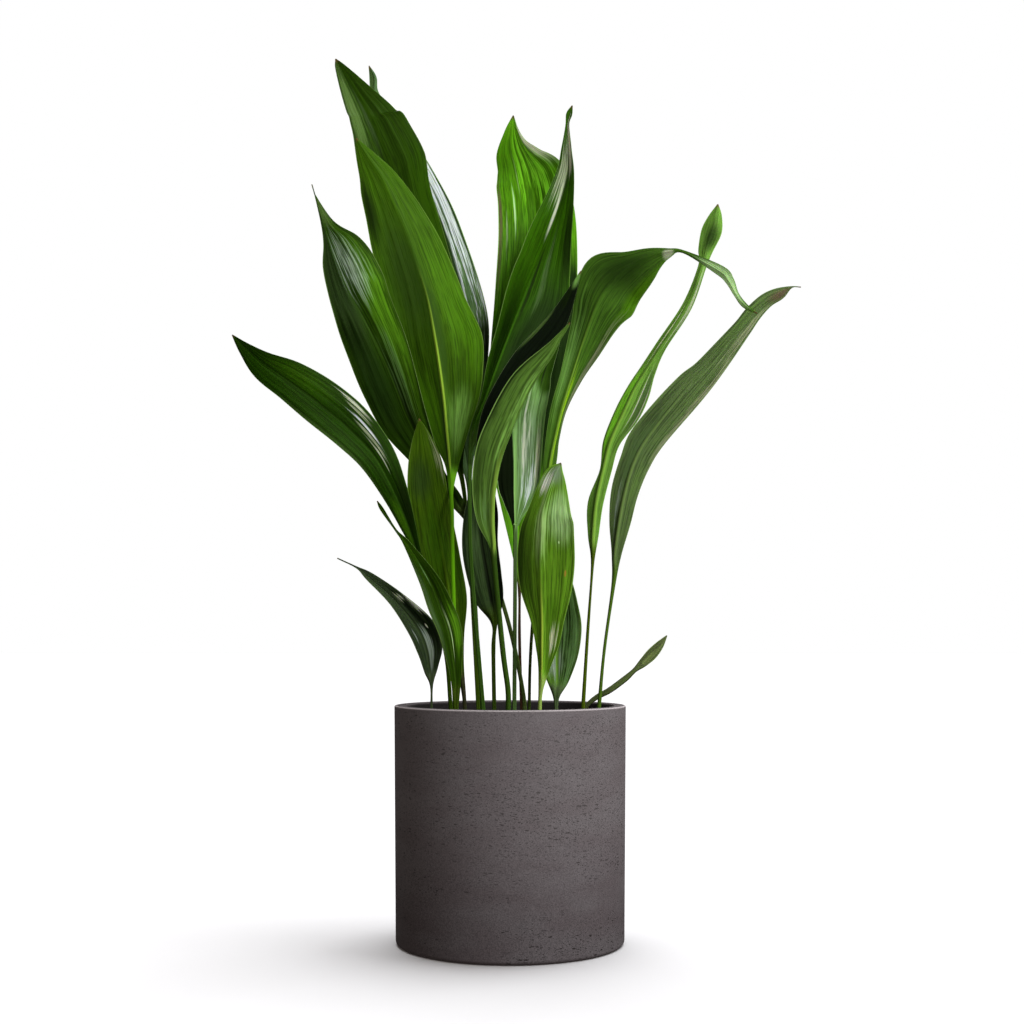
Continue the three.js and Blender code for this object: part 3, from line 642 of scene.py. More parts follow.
# %% [markdown]
# The points across a leaf lie close together at the midrib and at the edges, where the form
# is fine, and evenly between them. Long shallow pleats run from stalk to tip as the veins do:
# they are what breaks the gloss of a real blade into streaks. A slow wave runs along each
# edge. Both are drawn by a seeded draw of the leaf's own, and fade towards stalk and tip.

# %% Pleats and ripples
rib_side = [0.0, 0.03, 0.06, 0.11]
edge_side = [0.97, 1.0]
half_across = np.concatenate([rib_side, np.linspace(0.17, 0.93, 17), edge_side])
across = np.concatenate([-half_across[:0:-1], half_across])
pleat_depth = 0.35
ripple_depth = 0.8 * mm
full_form_from = 30 * mm


def pleats(leaf, width, along):
    """How far the blade stands up or down at each point across, the same on both faces."""
    draw = random.Random(leaf["name"])
    height = np.zeros_like(across)
    for waves, depth in ((2.6, 0.5), (4.3, 0.4), (6.7, 0.28)):
        phase = draw.uniform(0, 2 * math.pi)
        drift = draw.uniform(-1.5, 1.5) * along
        height += depth * np.sin(2 * math.pi * waves * across + phase + drift)
    calm = smooth_step((1 - np.abs(across)) / 0.12) * smooth_step(np.abs(across) / 0.1)
    grown = smooth_step(along / 0.12) * smooth_step((1 - along) / 0.1)
    return leaf["pleat"] * mm * np.minimum(width / full_form_from, 1) * height * calm * grown


def ripple(leaf, width, along, travelled):
    """A slow wave along each edge."""
    draw = random.Random(leaf["name"] + " edge")
    left, right = draw.uniform(0, 2 * math.pi), draw.uniform(0, 2 * math.pi)
    phase = np.where(across < 0, left, right)
    wave = np.sin(2 * math.pi * travelled / (draw.uniform(70, 100) * mm) + phase)
    grown = smooth_step(along / 0.15) * smooth_step((1 - along) / 0.15)
    return ripple_depth * np.minimum(width / full_form_from, 1) * wave * np.abs(across) ** 3 * grown


print("points across a leaf:", len(across))

# %% [markdown]
# A section has an upper face and an underside. Each half is an arc that leaves the midrib at
# the fold and bends by the curl. The upper face sinks to a groove over the midrib, and the
# underside stands out there as a ridge. Towards the stalk the section closes to a rod, a
# little hollow on its upper side.

# %% One section of a leaf
edge_thickness = 0.45 * mm
blade_thickness = 0.6 * mm
rib_ridge = 1.2 * mm
rib_groove = 0.5 * mm
rib_reach = 1.6 * mm
stalk_spread = 84
stalk_hollow = 0.25


def section(leaf, sample, direction):
    """The points of the upper face and of the underside, both from left to right."""
    face = 1 if leaf["seen"] == "upper" else -1
    rightward = unit(np.cross(direction, unit(eye - sample["point"])))
    outward = np.cross(rightward, direction)
    side = np.sign(across)
    reach = np.abs(across)
    width = np.where(across < 0, sample["left"], sample["right"])
    start = face * math.radians(leaf["fold"]) + side * sample["turn"]
    curl = face * math.radians(leaf["curl"])
    end = start + curl * reach
    x = side * width * (np.sin(end) - np.sin(start)) / curl
    y = width * (np.cos(start) - np.cos(end)) / curl
    lean = np.where(side == 0, sample["turn"], side * end)
    from_rib = np.exp(-(reach * width / rib_reach) ** 2) * (1 - sample["along"]) ** 1.5
    lift = pleats(leaf, width, sample["along"]) - rib_groove * from_rib
    lift = lift + ripple(leaf, width, sample["along"], sample["travelled"])
    thin_edge = smooth_step((1 - reach) / 0.1)
    thickness = edge_thickness + (blade_thickness - edge_thickness) * thin_edge + rib_ridge * from_rib
    angle = np.radians(90 - stalk_spread * across)
    roundness = smooth_step(sample["roundness"])
    rod = face * width * np.sin(angle)

    def points(raised, rod_y):
        flat_x = x - face * raised * np.sin(lean)
        flat_y = y + face * raised * np.cos(lean)
        px = flat_x + (width * np.cos(angle) - flat_x) * roundness
        py = flat_y + (rod_y - flat_y) * roundness
        return sample["point"] + np.outer(px, rightward) + np.outer(py, outward)

    hollow = stalk_hollow * np.exp(-(across / 0.3) ** 2)
    return points(lift, rod * (1 - hollow)), points(lift - thickness, -rod)


print("blade:", round(blade_thickness / mm, 2), "mm thick, ridge", round(rib_ridge / mm, 2), "mm high")

# %% [markdown]
# The rows start in the soil, where the stalk stands upright in its hole, and then follow the
# midrib. Their distance along the leaf becomes the second coordinate of the UV map: below
# nought on the stalk, nought where the blade opens and one at its tip. The first coordinate
# counts across the blade, so a pattern on this map runs together at both ends as veins do.

# %% Rows from the soil to the tip
rows_per_station = 7
stalk_half_width = 3 * mm
least_half_width = 0.5 * mm
stalk_depth = 16 * mm
stalk_collar = 2 * mm


def leaf_rows(leaf):
    """The sections of a leaf from the soil up, each with its place on the UV map."""
    stations = np.array(leaf["stations"], float)
    last = len(stations) - 1
    midrib = [place(*row[:3]) for row in stations]
    spread = stations[:, 3:6] * [mm, mm, math.pi / 180]
    opens = int(np.argmax(spread[:, 0] > stalk_half_width))
    times = np.linspace(0, last, last * rows_per_station + 1)
    points = np.array([through(midrib, t) for t in times])
    travelled = np.concatenate([[0], np.cumsum(np.linalg.norm(np.diff(points, axis=0), axis=1))])
    blade_from = travelled[opens * rows_per_station]
    blade_length = travelled[-1] - blade_from
    rows = []
    for index, t in enumerate(times):
        left, right, turn = through(spread, t)
        v = (travelled[index] - blade_from) / blade_length
        sample = {
            "point": points[index], "turn": turn, "travelled": travelled[index],
            "left": max(left, least_half_width), "right": max(right, least_half_width),
            "roundness": opens - t, "along": max(v, 0)}
        ahead = points[min(index + 1, len(points) - 1)] - points[max(index - 1, 0)]
        rows.append((v, *section(leaf, sample, unit(ahead))))
        if index == 0:
            root, root_v = sample, v
    buried = []
    for height in (soil_top - stalk_depth, soil_top + stalk_collar):
        point = np.array([root["point"][0], root["point"][1], height])
        v = root_v - (root["point"][2] - height) / blade_length
        buried.append((v, *section(leaf, {**root, "point": point}, np.array([0.0, 0.0, 1.0]))))
    return buried + rows


print("rows on a leaf:", [(len(leaf["stations"]) - 1) * rows_per_station + 3 for leaf in leaves])

# %% [markdown]
# The skin is a grid primitive. Its columns run over the upper face from the left edge to the
# right one and back along the underside, its rows climb from the soil to the tip, and merging
# its two long sides closes it like a sleeve.

# %% The skin of one leaf
ring = np.concatenate([across, across[::-1], across[:1]])
columns = len(ring)
sharp_from = math.radians(50)


def grow(leaf, upper_finish, under_finish):
    """Model a leaf with these finishes on its two faces."""
    rows = leaf_rows(leaf)
    deselect()
    bpy.ops.mesh.primitive_grid_add(x_subdivisions=columns - 1, y_subdivisions=len(rows) - 1, size=2)
    skin = bpy.context.object
    skin.name = leaf["name"].replace("leaf_", "") + "_leaf"
    mesh = skin.data
    flat = np.zeros(len(mesh.vertices) * 3)
    mesh.vertices.foreach_get("co", flat)
    flat = flat.reshape(-1, 3)
    column = np.rint((flat[:, 0] + 1) / 2 * (columns - 1)).astype(int)
    row = np.rint((flat[:, 1] + 1) / 2 * (len(rows) - 1)).astype(int)
    rings = np.array([np.concatenate([upper, under[::-1], upper[:1]]) for _, upper, under in rows])
    mesh.vertices.foreach_set("co", rings[row, column].ravel())

    corner = np.zeros(len(mesh.loops), int)
    mesh.loops.foreach_get("vertex_index", corner)
    heights = np.array([v for v, _, _ in rows])
    uv = np.column_stack([(ring[column[corner]] + 1) / 2, heights[row[corner]]])
    mesh.uv_layers[0].name = "UVMap"
    mesh.uv_layers[0].data.foreach_set("uv", uv.ravel())
    lowest = column[corner].reshape(-1, 4).min(axis=1)
    mesh.materials.append(upper_finish)
    mesh.materials.append(under_finish)
    mesh.polygons.foreach_set("material_index", (lowest >= len(across) - 1).astype(int))

    bpy.ops.object.mode_set(mode="EDIT")
    bpy.ops.mesh.select_all(action="SELECT")
    bpy.ops.mesh.remove_doubles(threshold=0.001 * mm)
    bpy.ops.mesh.fill_holes(sides=0)
    bpy.ops.mesh.select_all(action="SELECT")
    bpy.ops.mesh.normals_make_consistent(inside=False)
    bpy.ops.object.mode_set(mode="OBJECT")
    bpy.ops.object.shade_smooth_by_angle(angle=sharp_from)
    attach(skin, "root")
    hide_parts(leaf["name"])
    print(skin.name, len(mesh.vertices), "points")


print("columns round a leaf:", columns)

# %% [markdown]
# ## Leaf skin
#
# The real thing is a leathery cuticle over green tissue. Its upper face is glossy and dark,
# its underside duller and fresher, and the midrib, the stalk and the very edge are paler. The
# veins run from end to end a little over 1 mm apart. They could be cut into the mesh, but that
# takes millions of faces, so they are drawn on the UV map, scaled to the blade's millimetres.
# Two noises make the fine grain, one for the veins and one for short dashes in them, and with
# a wider one they make the light and dark streaks.

# %% Veins and streaks
vein_spacing = 1.3
vein_length = 60.0
dash_length = 16.0
shade_width = 6.0


def vein_grain(node, uv, size, seed):
    """The fine grain of the veins, and the streaks that it makes with wider shades."""
    width, length = size

    def along_veins(grain_width, grain_length, detail=2.0):
        drawn = node("Mapping", {
            "Vector": uv, "Location": (seed, seed * 0.37, 0.0),
            "Scale": (width / grain_width, length / grain_length, 1.0)})
        return node("TexNoise", {
            "Vector": drawn, "Scale": 1.0, "Detail": detail, "Roughness": 0.5}, {"noise_dimensions": "2D"})

    def blended(first, first_share, second, second_share):
        parts = [node("Math", pair, multiply) for pair in ((first, first_share), (second, second_share))]
        return node("Math", parts, add_up)

    veins = along_veins(vein_spacing, vein_length)
    dashes = along_veins(0.7 * vein_spacing, dash_length)
    shades = along_veins(shade_width, 4 * vein_length, 3.0)
    fine = blended(veins, 0.6, dashes, 0.4)
    return fine, blended(shades, 0.5, fine, 0.5)


print("veins:", vein_spacing, "mm apart")

# %% [markdown]
# No leaf is one green all over. Each wash is an oval at a place on the blade, in a named tone.
# The dark tones are painted shade, where the blade turns from the light or lies in the shadow
# of another leaf, the pale ones painted highlights and sheen where it shines, and the greens
# between are partly its own tone and partly painted light and shade. Its edge is torn along
# the veins, and a share of it breaks up into streaks.

# %% Washes and their tones
# The four darkest tones are painted shadow; pewter, the silvers, the glints, the pale and the grey sheen
# greens are painted highlights and sheen.
tones = {
    "night": "#020302", "soot": "#060a04", "deep_shade": "#0c1604", "shade": "#14240a",
    "dark_leaf": "#20320f", "deep_green": "#264405", "dull_green": "#364a28", "brown": "#4e3a32",
    "leaf_green": "#3a6208", "moss": "#465e2c", "sage": "#50703e", "fresh_green": "#4a7814",
    "grey_green": "#6b7056", "soft_green": "#5e8640", "ochre": "#a88c38", "pewter": "#7a877a",
    "dusty_green": "#8c947a", "young_green": "#74a24a", "lime": "#8cb80c", "silver": "#a2a894",
    "bright_silver": "#b2b8bc", "pale_green": "#b0d894", "bright_lime": "#84d830",
    "glint_green": "#ccf0a8", "glint": "#eef2d2", "white_glint": "#f2f2ee"}
full_wash = 0.86
soft_wash = 0.8


def washed(node, uv, fine, streaks, colour, washes):
    """The colour with these washes over it."""
    ragged = node("MapRange", (streaks, 0.4, 0.6, 0.8, -0.8), smooth)
    for tone, wash_u, wash_v, reach_u, reach_v, streaky, *own in washes:
        amount, soft = own or (full_wash, soft_wash)
        oval = node("Mapping", {
            "Vector": uv, "Scale": (1 / reach_u, 1 / reach_v, 1.0),
            "Location": (-wash_u / reach_u, -wash_v / reach_v, 0.0)})
        distance = node("VectorMath", (oval,), length_of)
        torn = node("Math", (ragged, streaky, distance), multiply_add)
        strength = node("MapRange", (torn, 1 - soft, 1.0, amount, 0.0), smooth)
        broken = node("MapRange", (streaks, 0.44, 0.58, 1 - streaky, 1.0), smooth)
        grained = node("MapRange", (fine, 0.4, 0.6, 0.75 if streaky else 1.0, 1.0), smooth)
        share = node("Math", (strength, node("Math", (broken, grained), multiply)), multiply)
        colour = node("Mix", (share, colour, tones[tone]), mix_colours)
    return colour


print("tones:", len(tones))

# %% [markdown]
# The midrib is a pale line that narrows and fades on its way up the blade. The very edge is
# paler too, the tip is dry and brown, and the stalk has a tone of its own. All four could be
# painted, but here the UV map says where they are.

# %% Midrib, edge, tip and stalk
rib_half = 1.0
edge_width = 0.5


def marked(node, uv, width, colour, rib, rib_until, edge, stalk):
    """The colour with the midrib, the edge, the tip and the stalk over it."""
    split = node("SeparateXYZ", (uv,))
    v = split.outputs["Y"]
    half = node("Math", (node("Math", (split, 2.0, -1.0), multiply_add),), absolute)
    rib_share = 2 * rib_half / width
    narrowing = node("MapRange", (v, 0.0, rib_until, 0.5, 1.1), smooth)
    from_rib = node("Math", (half, narrowing), multiply)
    near_rib = node("MapRange", (from_rib, 0.6 * rib_share, 1.4 * rib_share, 1.0, 0.0), smooth)
    rib_fades = node("MapRange", (v, 0.4 * rib_until, rib_until, 1.0, 0.0), smooth)
    on_rib = node("Math", (near_rib, rib_fades), multiply)
    edge_from = 1 - 2 * edge_width / width
    near_edge = node("MapRange", (half, edge_from - 0.01, edge_from), smooth)
    on_edge = node("Math", (near_edge, node("MapRange", (v, 0.0, 0.05), smooth)), multiply)
    on_tip = node("MapRange", (v, 0.985, 1.0), smooth)
    on_stalk = node("MapRange", (v, -0.06, 0.0, 1.0, 0.0), smooth)
    for share, tone in ((on_rib, rib), (on_edge, edge), (on_tip, "#4d3a22"), (on_stalk, stalk)):
        colour = node("Mix", (share, colour, tone), mix_colours)
    return colour


print("midrib:", 2 * rib_half, "mm wide")

# %% [markdown]
# The skin puts them together: a darker and a lighter green by the streaks, the washes, a
# shadow between the finest veins, and the marks. The wax is rougher where the streaks are
# dark, the finest veins rise as bump, and a little light scatters inside the blade.

# %% Leaf skin
vein_dark = 0.25
vein_shadow = 0.34
vein_relief = 0.25 * mm
leaf_glow = 0.3
tissue_depth = 1.2 * mm


def between(first, second, share):
    """The colour that lies this share of the way from the first to the second."""
    pairs = [(int(first[i:i + 2], 16), int(second[i:i + 2], 16)) for i in (1, 3, 5)]
    return "#" + "".join(f"{round(a + (b - a) * share):02x}" for a, b in pairs)


def leaf_skin(name, size, green, rib, stalk, rib_until, washes, seed, gloss, shine):
    """A skin for one face of a blade of this size in millimetres."""
    material, node, shader = new_material(name)
    uv = node("UVMap", settings={"uv_map": "UVMap"})
    fine, streaks = vein_grain(node, uv, size, seed)
    light = node("MapRange", (streaks, 0.38, 0.62), smooth)
    colour = node("Mix", (light, between(green, "#000000", vein_dark), green), mix_colours)
    colour = washed(node, uv, fine, streaks, colour, washes)
    shadow = node("MapRange", (fine, 0.4, 0.5, vein_shadow, 0.0), smooth)
    colour = node("Mix", (shadow, colour, "#3c4634"), multiply_colours)
    colour = marked(node, uv, size[0], colour, rib, rib_until, between(green, "#8fa070", 0.3), stalk)
    feed(shader, {
        "Base Color": colour,
        "Roughness": node("MapRange", (streaks, 0.3, 0.7, gloss + 0.1, gloss - 0.05), smooth),
        "Normal": node("Bump", {"Strength": 0.6, "Distance": vein_relief, "Height": fine}),
        "Specular IOR Level": shine, "Specular Tint": "#a8e070", "Subsurface Weight": leaf_glow,
        "Subsurface Radius": (0.5, 1.0, 0.2), "Subsurface Scale": tissue_depth})
    return material


print("light scatters about", round(tissue_depth / mm, 1), "mm deep")

# %% [markdown]
# ## Colours of the single leaves
#
# Each leaf has its own age and its own place among the others, so each gets two greens, for
# its upper face and its underside, and a tone for its stalk. Where they differ from the rest,
# rib says how far the midrib stands out, rib_until how far up it shows, shine how much the
# upper face mirrors and pleat how deep the pleats are. The washes lie on the face that the
# front view shows. Each has a tone, the place across and along the blade, how far it reaches
# each way, the share that is streaks, and, where they differ, its strength and softness.

# %% Greens and washes
finishes = {
    "tall_left": dict(upper="#1e3604", under="#3a5620", stalk="#3c5410", rib=0.1, washes=[
        ("moss", 0.2, 0.87, 0.3, 0.15, 0.25), ("deep_green", 0.92, 0.58, 0.26, 0.22, 0.0),
        ("dull_green", 0.53, 0.84, 0.04, 0.13, 0.0, 0.7, 0.9)]),
    "broad_front": dict(upper="#24400a", under="#325408", stalk="#4c800c", rib=0.5, rib_until=0.62, washes=[
        ("dark_leaf", 0.33, 0.56, 0.3, 0.28, 0.2), ("deep_shade", 0.08, 0.78, 0.16, 0.16, 0.0),
        ("leaf_green", 0.86, 0.45, 0.34, 0.24, 0.1),
        ("young_green", 0.74, 0.12, 0.24, 0.13, 0.1, 0.6, 0.8),
        ("shade", 0.57, 0.38, 0.08, 0.16, 0.6, 0.7, 0.8),
        ("leaf_green", 0.25, 0.15, 0.24, 0.18, 0.0, 0.7, 0.8)]),
    "glossy_left": dict(upper="#1e3606", under="#3a5620", stalk="#405024", rib=0.1, shine=0.04, washes=[
        ("night", 0.22, 0.68, 0.32, 0.34, 0.1, 0.9, 0.6), ("shade", 0.25, 0.38, 0.28, 0.2, 0.1),
        ("fresh_green", 0.8, 0.5, 0.28, 0.45, 0.1), ("pewter", 0.66, 0.74, 0.2, 0.13, 0.4, 0.75, 0.9),
        ("sage", 0.68, 0.38, 0.18, 0.16, 0.5, 0.75, 0.9), ("moss", 0.7, 0.93, 0.4, 0.08, 0.0)]),
    "leaning_left": dict(upper="#142c02", under="#3a5220", stalk="#243804", shine=0.03, washes=[
        ("deep_green", 0.75, 0.75, 0.3, 0.2, 0.1, 0.6, 0.8), ("deep_shade", 0.8, 0.2, 0.32, 0.15, 0.0),
        ("deep_green", 0.3, 0.14, 0.25, 0.12, 0.0, 0.85, 0.6), ("dark_leaf", 0.04, 0.5, 0.07, 0.4, 0.0),
        ("silver", 0.63, 0.39, 0.026, 0.08, 0.3), ("dusty_green", 0.7, 0.43, 0.03, 0.1, 0.4),
        ("bright_silver", 0.77, 0.47, 0.032, 0.11, 0.3), ("dusty_green", 0.85, 0.51, 0.03, 0.08, 0.4),
        ("silver", 0.92, 0.55, 0.03, 0.08, 0.4)]),
    "silver_back": dict(upper="#5a7c4c", under="#56724c", stalk="#1c3808", washes=[
        ("bright_silver", 0.93, 0.56, 0.17, 0.215, 0.8, 1.0, 0.35),
        ("shade", 0.78, 0.5, 0.045, 0.24, 0.0, 0.9, 0.6), ("night", 0.95, 0.29, 0.14, 0.09, 0.0),
        ("dark_leaf", 0.4, 0.97, 0.5, 0.07, 0.0, 0.9, 0.6),
        ("dark_leaf", 0.86, 0.6, 0.014, 0.16, 0.0, 0.9, 0.6),
        ("dull_green", 0.91, 0.47, 0.012, 0.14, 0.0, 0.9, 0.6),
        ("shade", 0.99, 0.58, 0.03, 0.24, 0.0, 1.0, 0.6)]),
    "olive_low": dict(upper="#223a0a", under="#304a06", stalk="#282818", rib=0.08, washes=[
        ("deep_green", 0.45, 0.5, 0.4, 0.2, 0.2), ("dark_leaf", 0.3, 0.76, 0.35, 0.12, 0.0),
        ("grey_green", 0.86, 0.84, 0.14, 0.1, 0.6), ("deep_green", 0.85, 0.35, 0.2, 0.2, 0.0)]),
    "bright_back": dict(upper="#508e10", under="#568c26", stalk="#2c1a12", pleat=0.15, washes=[
        ("glint", 0.93, 0.92, 0.2, 0.08, 0.1), ("brown", 0.02, 0.72, 0.05, 0.2, 0.1, 0.9, 0.6),
        ("dusty_green", 0.11, 0.71, 0.022, 0.1, 0.3), ("pale_green", 0.22, 0.77, 0.018, 0.09, 0.0),
        ("young_green", 0.31, 0.86, 0.014, 0.08, 0.0), ("leaf_green", 0.4, 0.84, 0.014, 0.07, 0.0),
        ("bright_lime", 0.6, 0.86, 0.25, 0.1, 0.6, 0.6, 0.8),
        ("shade", 0.95, 0.42, 0.25, 0.28, 0.0, 1.0, 0.3)]),
    "folded_centre": dict(upper="#244804", under="#3a5820", stalk="#304c18", rib=0.2, shine=0.02, washes=[
        ("night", 0.3, 0.25, 0.38, 0.28, 0.1), ("shade", 0.8, 0.22, 0.34, 0.34, 0.0, 0.95, 0.5),
        ("deep_shade", 0.535, 0.46, 0.022, 0.18, 0.0, 0.9, 0.6),
        ("dull_green", 0.66, 0.5, 0.05, 0.16, 0.3), ("deep_shade", 0.92, 0.6, 0.16, 0.2, 0.0),
        ("dusty_green", 0.3, 0.8, 0.3, 0.11, 0.4), ("silver", 0.46, 0.68, 0.06, 0.11, 0.0),
        ("glint", 0.72, 0.88, 0.25, 0.1, 0.2)]),
    "curved_centre": dict(upper="#2e4a16", under="#4c6e28", stalk="#284010", rib=0.3, rib_until=0.5, washes=[
        ("night", 0.02, 0.6, 0.09, 0.45, 0.0), ("young_green", 0.44, 0.55, 0.12, 0.5, 0.3, 0.7, 0.8),
        ("sage", 0.3, 0.15, 0.2, 0.1, 0.5, 0.7, 0.8), ("dark_leaf", 0.12, 0.28, 0.14, 0.2, 0.0, 0.7, 0.8)]),
    "silver_centre": dict(upper="#668e4c", under="#5e8442", stalk="#40582c", rib=0.4, shine=0.04, washes=[
        ("night", 0.05, 0.2, 0.44, 0.45, 0.0, 1.0, 0.12), ("pewter", 0.7, 0.34, 0.24, 0.3, 0.2, 0.6, 0.9),
        ("silver", 0.68, 0.38, 0.08, 0.2, 0.7), ("bright_silver", 0.8, 0.17, 0.18, 0.13, 0.6),
        ("glint", 0.92, 0.3, 0.06, 0.2, 0.2, 0.6, 0.8),
        ("deep_green", 0.88, 0.84, 0.3, 0.24, 0.0, 0.97, 0.3), ("soot", 0.8, 0.75, 0.03, 0.12, 0.0)]),
    # The upper green of this leaf is near black: painted shadow of the leaf in front of it.
    "shaded_centre": dict(upper="#0c120a", under="#3a5220", stalk="#28380c", rib=0.1, shine=0.04, washes=[
        ("deep_shade", 0.3, 0.925, 0.4, 0.05, 0.3), ("moss", 0.05, 0.8, 0.1, 0.08, 0.2, 0.7, 0.8),
        ("dull_green", 0.4, 0.08, 0.5, 0.24, 0.1), ("soft_green", 0.5, 1.0, 0.7, 0.06, 0.0, 0.9, 0.5)]),
    "broad_right": dict(upper="#466a20", under="#689c24", stalk="#789044", rib=0.7, rib_until=0.5, washes=[
        ("shade", 0.05, 0.55, 0.2, 0.38, 0.0), ("dark_leaf", 0.24, 0.5, 0.16, 0.36, 0.1, 0.6, 0.9),
        ("glint_green", 0.46, 0.68, 0.16, 0.24, 0.2, 0.5, 0.9), ("pale_green", 0.8, 0.75, 0.3, 0.18, 0.1),
        ("pewter", 0.55, 0.95, 0.5, 0.08, 0.1, 0.75, 0.8), ("white_glint", 0.3, 0.89, 0.24, 0.07, 0.4),
        ("glint", 0.8, 0.16, 0.11, 0.075, 0.6), ("fresh_green", 0.7, 0.28, 0.2, 0.1, 0.1, 0.7, 0.8),
        ("ochre", 0.872, 0.468, 0.02, 0.02, 0.0, 1.0, 0.4),
        ("glint_green", 0.765, 0.62, 0.014, 0.009, 0.0, 0.9, 0.5)]),
    "low_right": dict(upper="#486c20", under="#46662e", stalk="#405030", rib=0.3, washes=[
        ("deep_shade", 0.8, 0.22, 0.35, 0.36, 0.0, 0.85, 0.5),
        ("sage", 0.77, 0.25, 0.3, 0.3, 1.0, 0.9, 0.6), ("pewter", 0.4, 0.1, 0.3, 0.12, 0.3),
        ("moss", 0.98, 0.3, 0.07, 0.3, 0.0)]),
    "narrow_right": dict(upper="#3e5c22", under="#5a8430", stalk="#384808", washes=[
        ("bright_lime", 0.25, 0.34, 0.25, 0.22, 0.1),
        ("dull_green", 0.86, 0.4, 0.15, 0.14, 0.2, 0.9, 0.6),
        ("silver", 0.75, 0.4, 0.022, 0.12, 0.0, 0.8, 0.6),
        ("dusty_green", 0.93, 0.38, 0.022, 0.1, 0.0, 0.8, 0.6),
        ("dusty_green", 0.8, 0.68, 0.25, 0.13, 0.4), ("glint", 0.3, 0.58, 0.06, 0.1, 0.5, 0.7, 0.8),
        ("shade", 0.6, 0.9, 0.5, 0.07, 0.0)]),
    "wide_right": dict(upper="#2e441e", under="#485c32", stalk="#385014", rib=0.06, washes=[
        ("moss", 0.3, 0.79, 0.34, 0.14, 0.3), ("grey_green", 0.8, 0.77, 0.2, 0.14, 0.5),
        ("dull_green", 0.35, 0.3, 0.35, 0.2, 0.2, 0.7, 0.8), ("grey_green", 0.95, 0.52, 0.1, 0.24, 0.5),
        ("pewter", 0.3, 0.13, 0.12, 0.09, 0.4, 0.8, 0.9), ("moss", 0.75, 0.2, 0.22, 0.1, 0.1),
        ("brown", 0.6, 0.93, 0.5, 0.06, 0.1)]),
    "small_left": dict(upper="#283420", under="#3e5628", stalk="#3c4830", shine=0.06, washes=[
        ("night", 0.8, 0.38, 0.25, 0.32, 0.0, 0.9, 0.6), ("pewter", 0.6, 0.12, 0.12, 0.14, 0.6),
        ("silver", 0.93, 0.43, 0.12, 0.1, 0.5), ("dusty_green", 0.78, 0.52, 0.12, 0.06, 0.4),
        ("pewter", 0.23, 0.26, 0.05, 0.08, 0.3), ("silver", 0.765, 0.265, 0.022, 0.022, 0.0, 0.9, 0.5)]),
    "narrow_left": dict(upper="#1e3604", under="#3a5620", stalk="#283808", washes=[
        ("deep_green", 0.6, 0.78, 0.7, 0.24, 0.0), ("dull_green", 0.06, 0.4, 0.2, 0.4, 0.0),
        ("fresh_green", 0.8, 0.25, 0.2, 0.18, 0.1), ("glint_green", 0.58, 0.27, 0.07, 0.2, 0.4),
        ("sage", 0.43, 0.57, 0.045, 0.09, 0.1)]),
    "small_right": dict(upper="#4e5832", under="#4c6230", stalk="#343c20"),
    "arching_right": dict(upper="#2c4812", under="#3c601a", stalk="#2a3a10", rib=0.3, rib_until=0.5, washes=[
        ("shade", 0.45, 0.57, 0.45, 0.12, 0.1), ("leaf_green", 0.92, 0.52, 0.16, 0.2, 0.0),
        ("grey_green", 0.92, 0.25, 0.14, 0.22, 0.3), ("lime", 0.58, 0.12, 0.13, 0.16, 0.2),
        ("dusty_green", 0.6, 0.69, 0.5, 0.02, 0.0, 0.8, 0.6),
        ("pale_green", 0.5, 0.87, 0.7, 0.12, 0.1, 0.85, 0.6),
        ("soft_green", 0.2, 0.28, 0.25, 0.2, 0.2, 0.6, 0.8)]),
}
print("washes:", sum(len(finish.get("washes", ())) for finish in finishes.values()))

# %% [markdown]
# Now every leaf grows, with a skin for each face. The patterns are drawn to the blade's own
# size, so that veins lie equally close on a broad leaf and on a narrow one.

# %% Grow all leaves
def blade_size(leaf):
    """The blade's greatest width and its length along the midrib, in millimetres."""
    widest = max(left + right for _, _, _, left, right, _ in leaf["stations"])
    blade = [place(*row[:3]) for row in leaf["stations"] if row[3] * mm > stalk_half_width]
    length = sum(np.linalg.norm(after - before) for before, after in zip(blade, blade[1:]))
    return widest, length / mm


for number, leaf in enumerate(leaves):
    short = leaf["name"].replace("leaf_", "")
    finish = finishes[short]
    rib = finish.get("rib", 0.2)
    leaf["pleat"] = finish.get("pleat", pleat_depth)
    skins = []
    for face, kind, rib_green, rib_amount, gloss, shine, seed in (
            ("upper", "waxed", "#7f9a58", 0.4 * rib, 0.36, finish.get("shine", 0.08), 0.0),
            ("under", "matt", "#a8c048", rib, 0.5, 0.05, 3.1)):
        green = finish[face]
        skins.append(leaf_skin(
            f"blade_{face}_{kind}_{short}", blade_size(leaf), green,
            rib=between(green, rib_green, rib_amount), stalk=finish["stalk"],
            rib_until=finish.get("rib_until", 0.6), seed=number * 7.7 + seed, gloss=gloss, shine=shine,
            washes=finish.get("washes", ()) if leaf["seen"] == face else ()))
    grow(leaf, *skins)

# %% [markdown]
# ## Crumbs and bark on the soil
#
# Potting soil is sieved peat with lumps in it and chips of bark. They could be scattered with
# particles, which an export drops, so three lumps and two chips are modelled, copied by a
# seeded draw with a turn and a size of their own, sunk in a little and joined. Each copy stays
# clear of the stalks.

# %% Lumps and chips, modelled once
def roughen(piece, frequency, depth, seed):
    """Push each point in or out by noise, so that no two lumps are alike."""
    for vertex in piece.data.vertices:
        vertex.co *= 1 + depth * noise.noise(vertex.co * frequency + Vector((seed, 0, 0)))
    return piece


def lump(seed):
    deselect()
    bpy.ops.mesh.primitive_ico_sphere_add(subdivisions=2, radius=1)
    return roughen(bpy.context.object, 1.1, 0.9, seed)


def chip(seed):
    deselect()
    bpy.ops.mesh.primitive_cube_add(size=2)
    bpy.ops.object.mode_set(mode="EDIT")
    bpy.ops.mesh.bevel(offset=0.35, segments=1)
    bpy.ops.mesh.subdivide(number_cuts=1)
    bpy.ops.object.mode_set(mode="OBJECT")
    return roughen(bpy.context.object, 0.8, 0.6, seed)


lumps = [lump(seed) for seed in (0, 7, 19)]
chips = [chip(seed) for seed in (3, 11)]
print("lumps:", len(lumps), "chips:", len(chips))

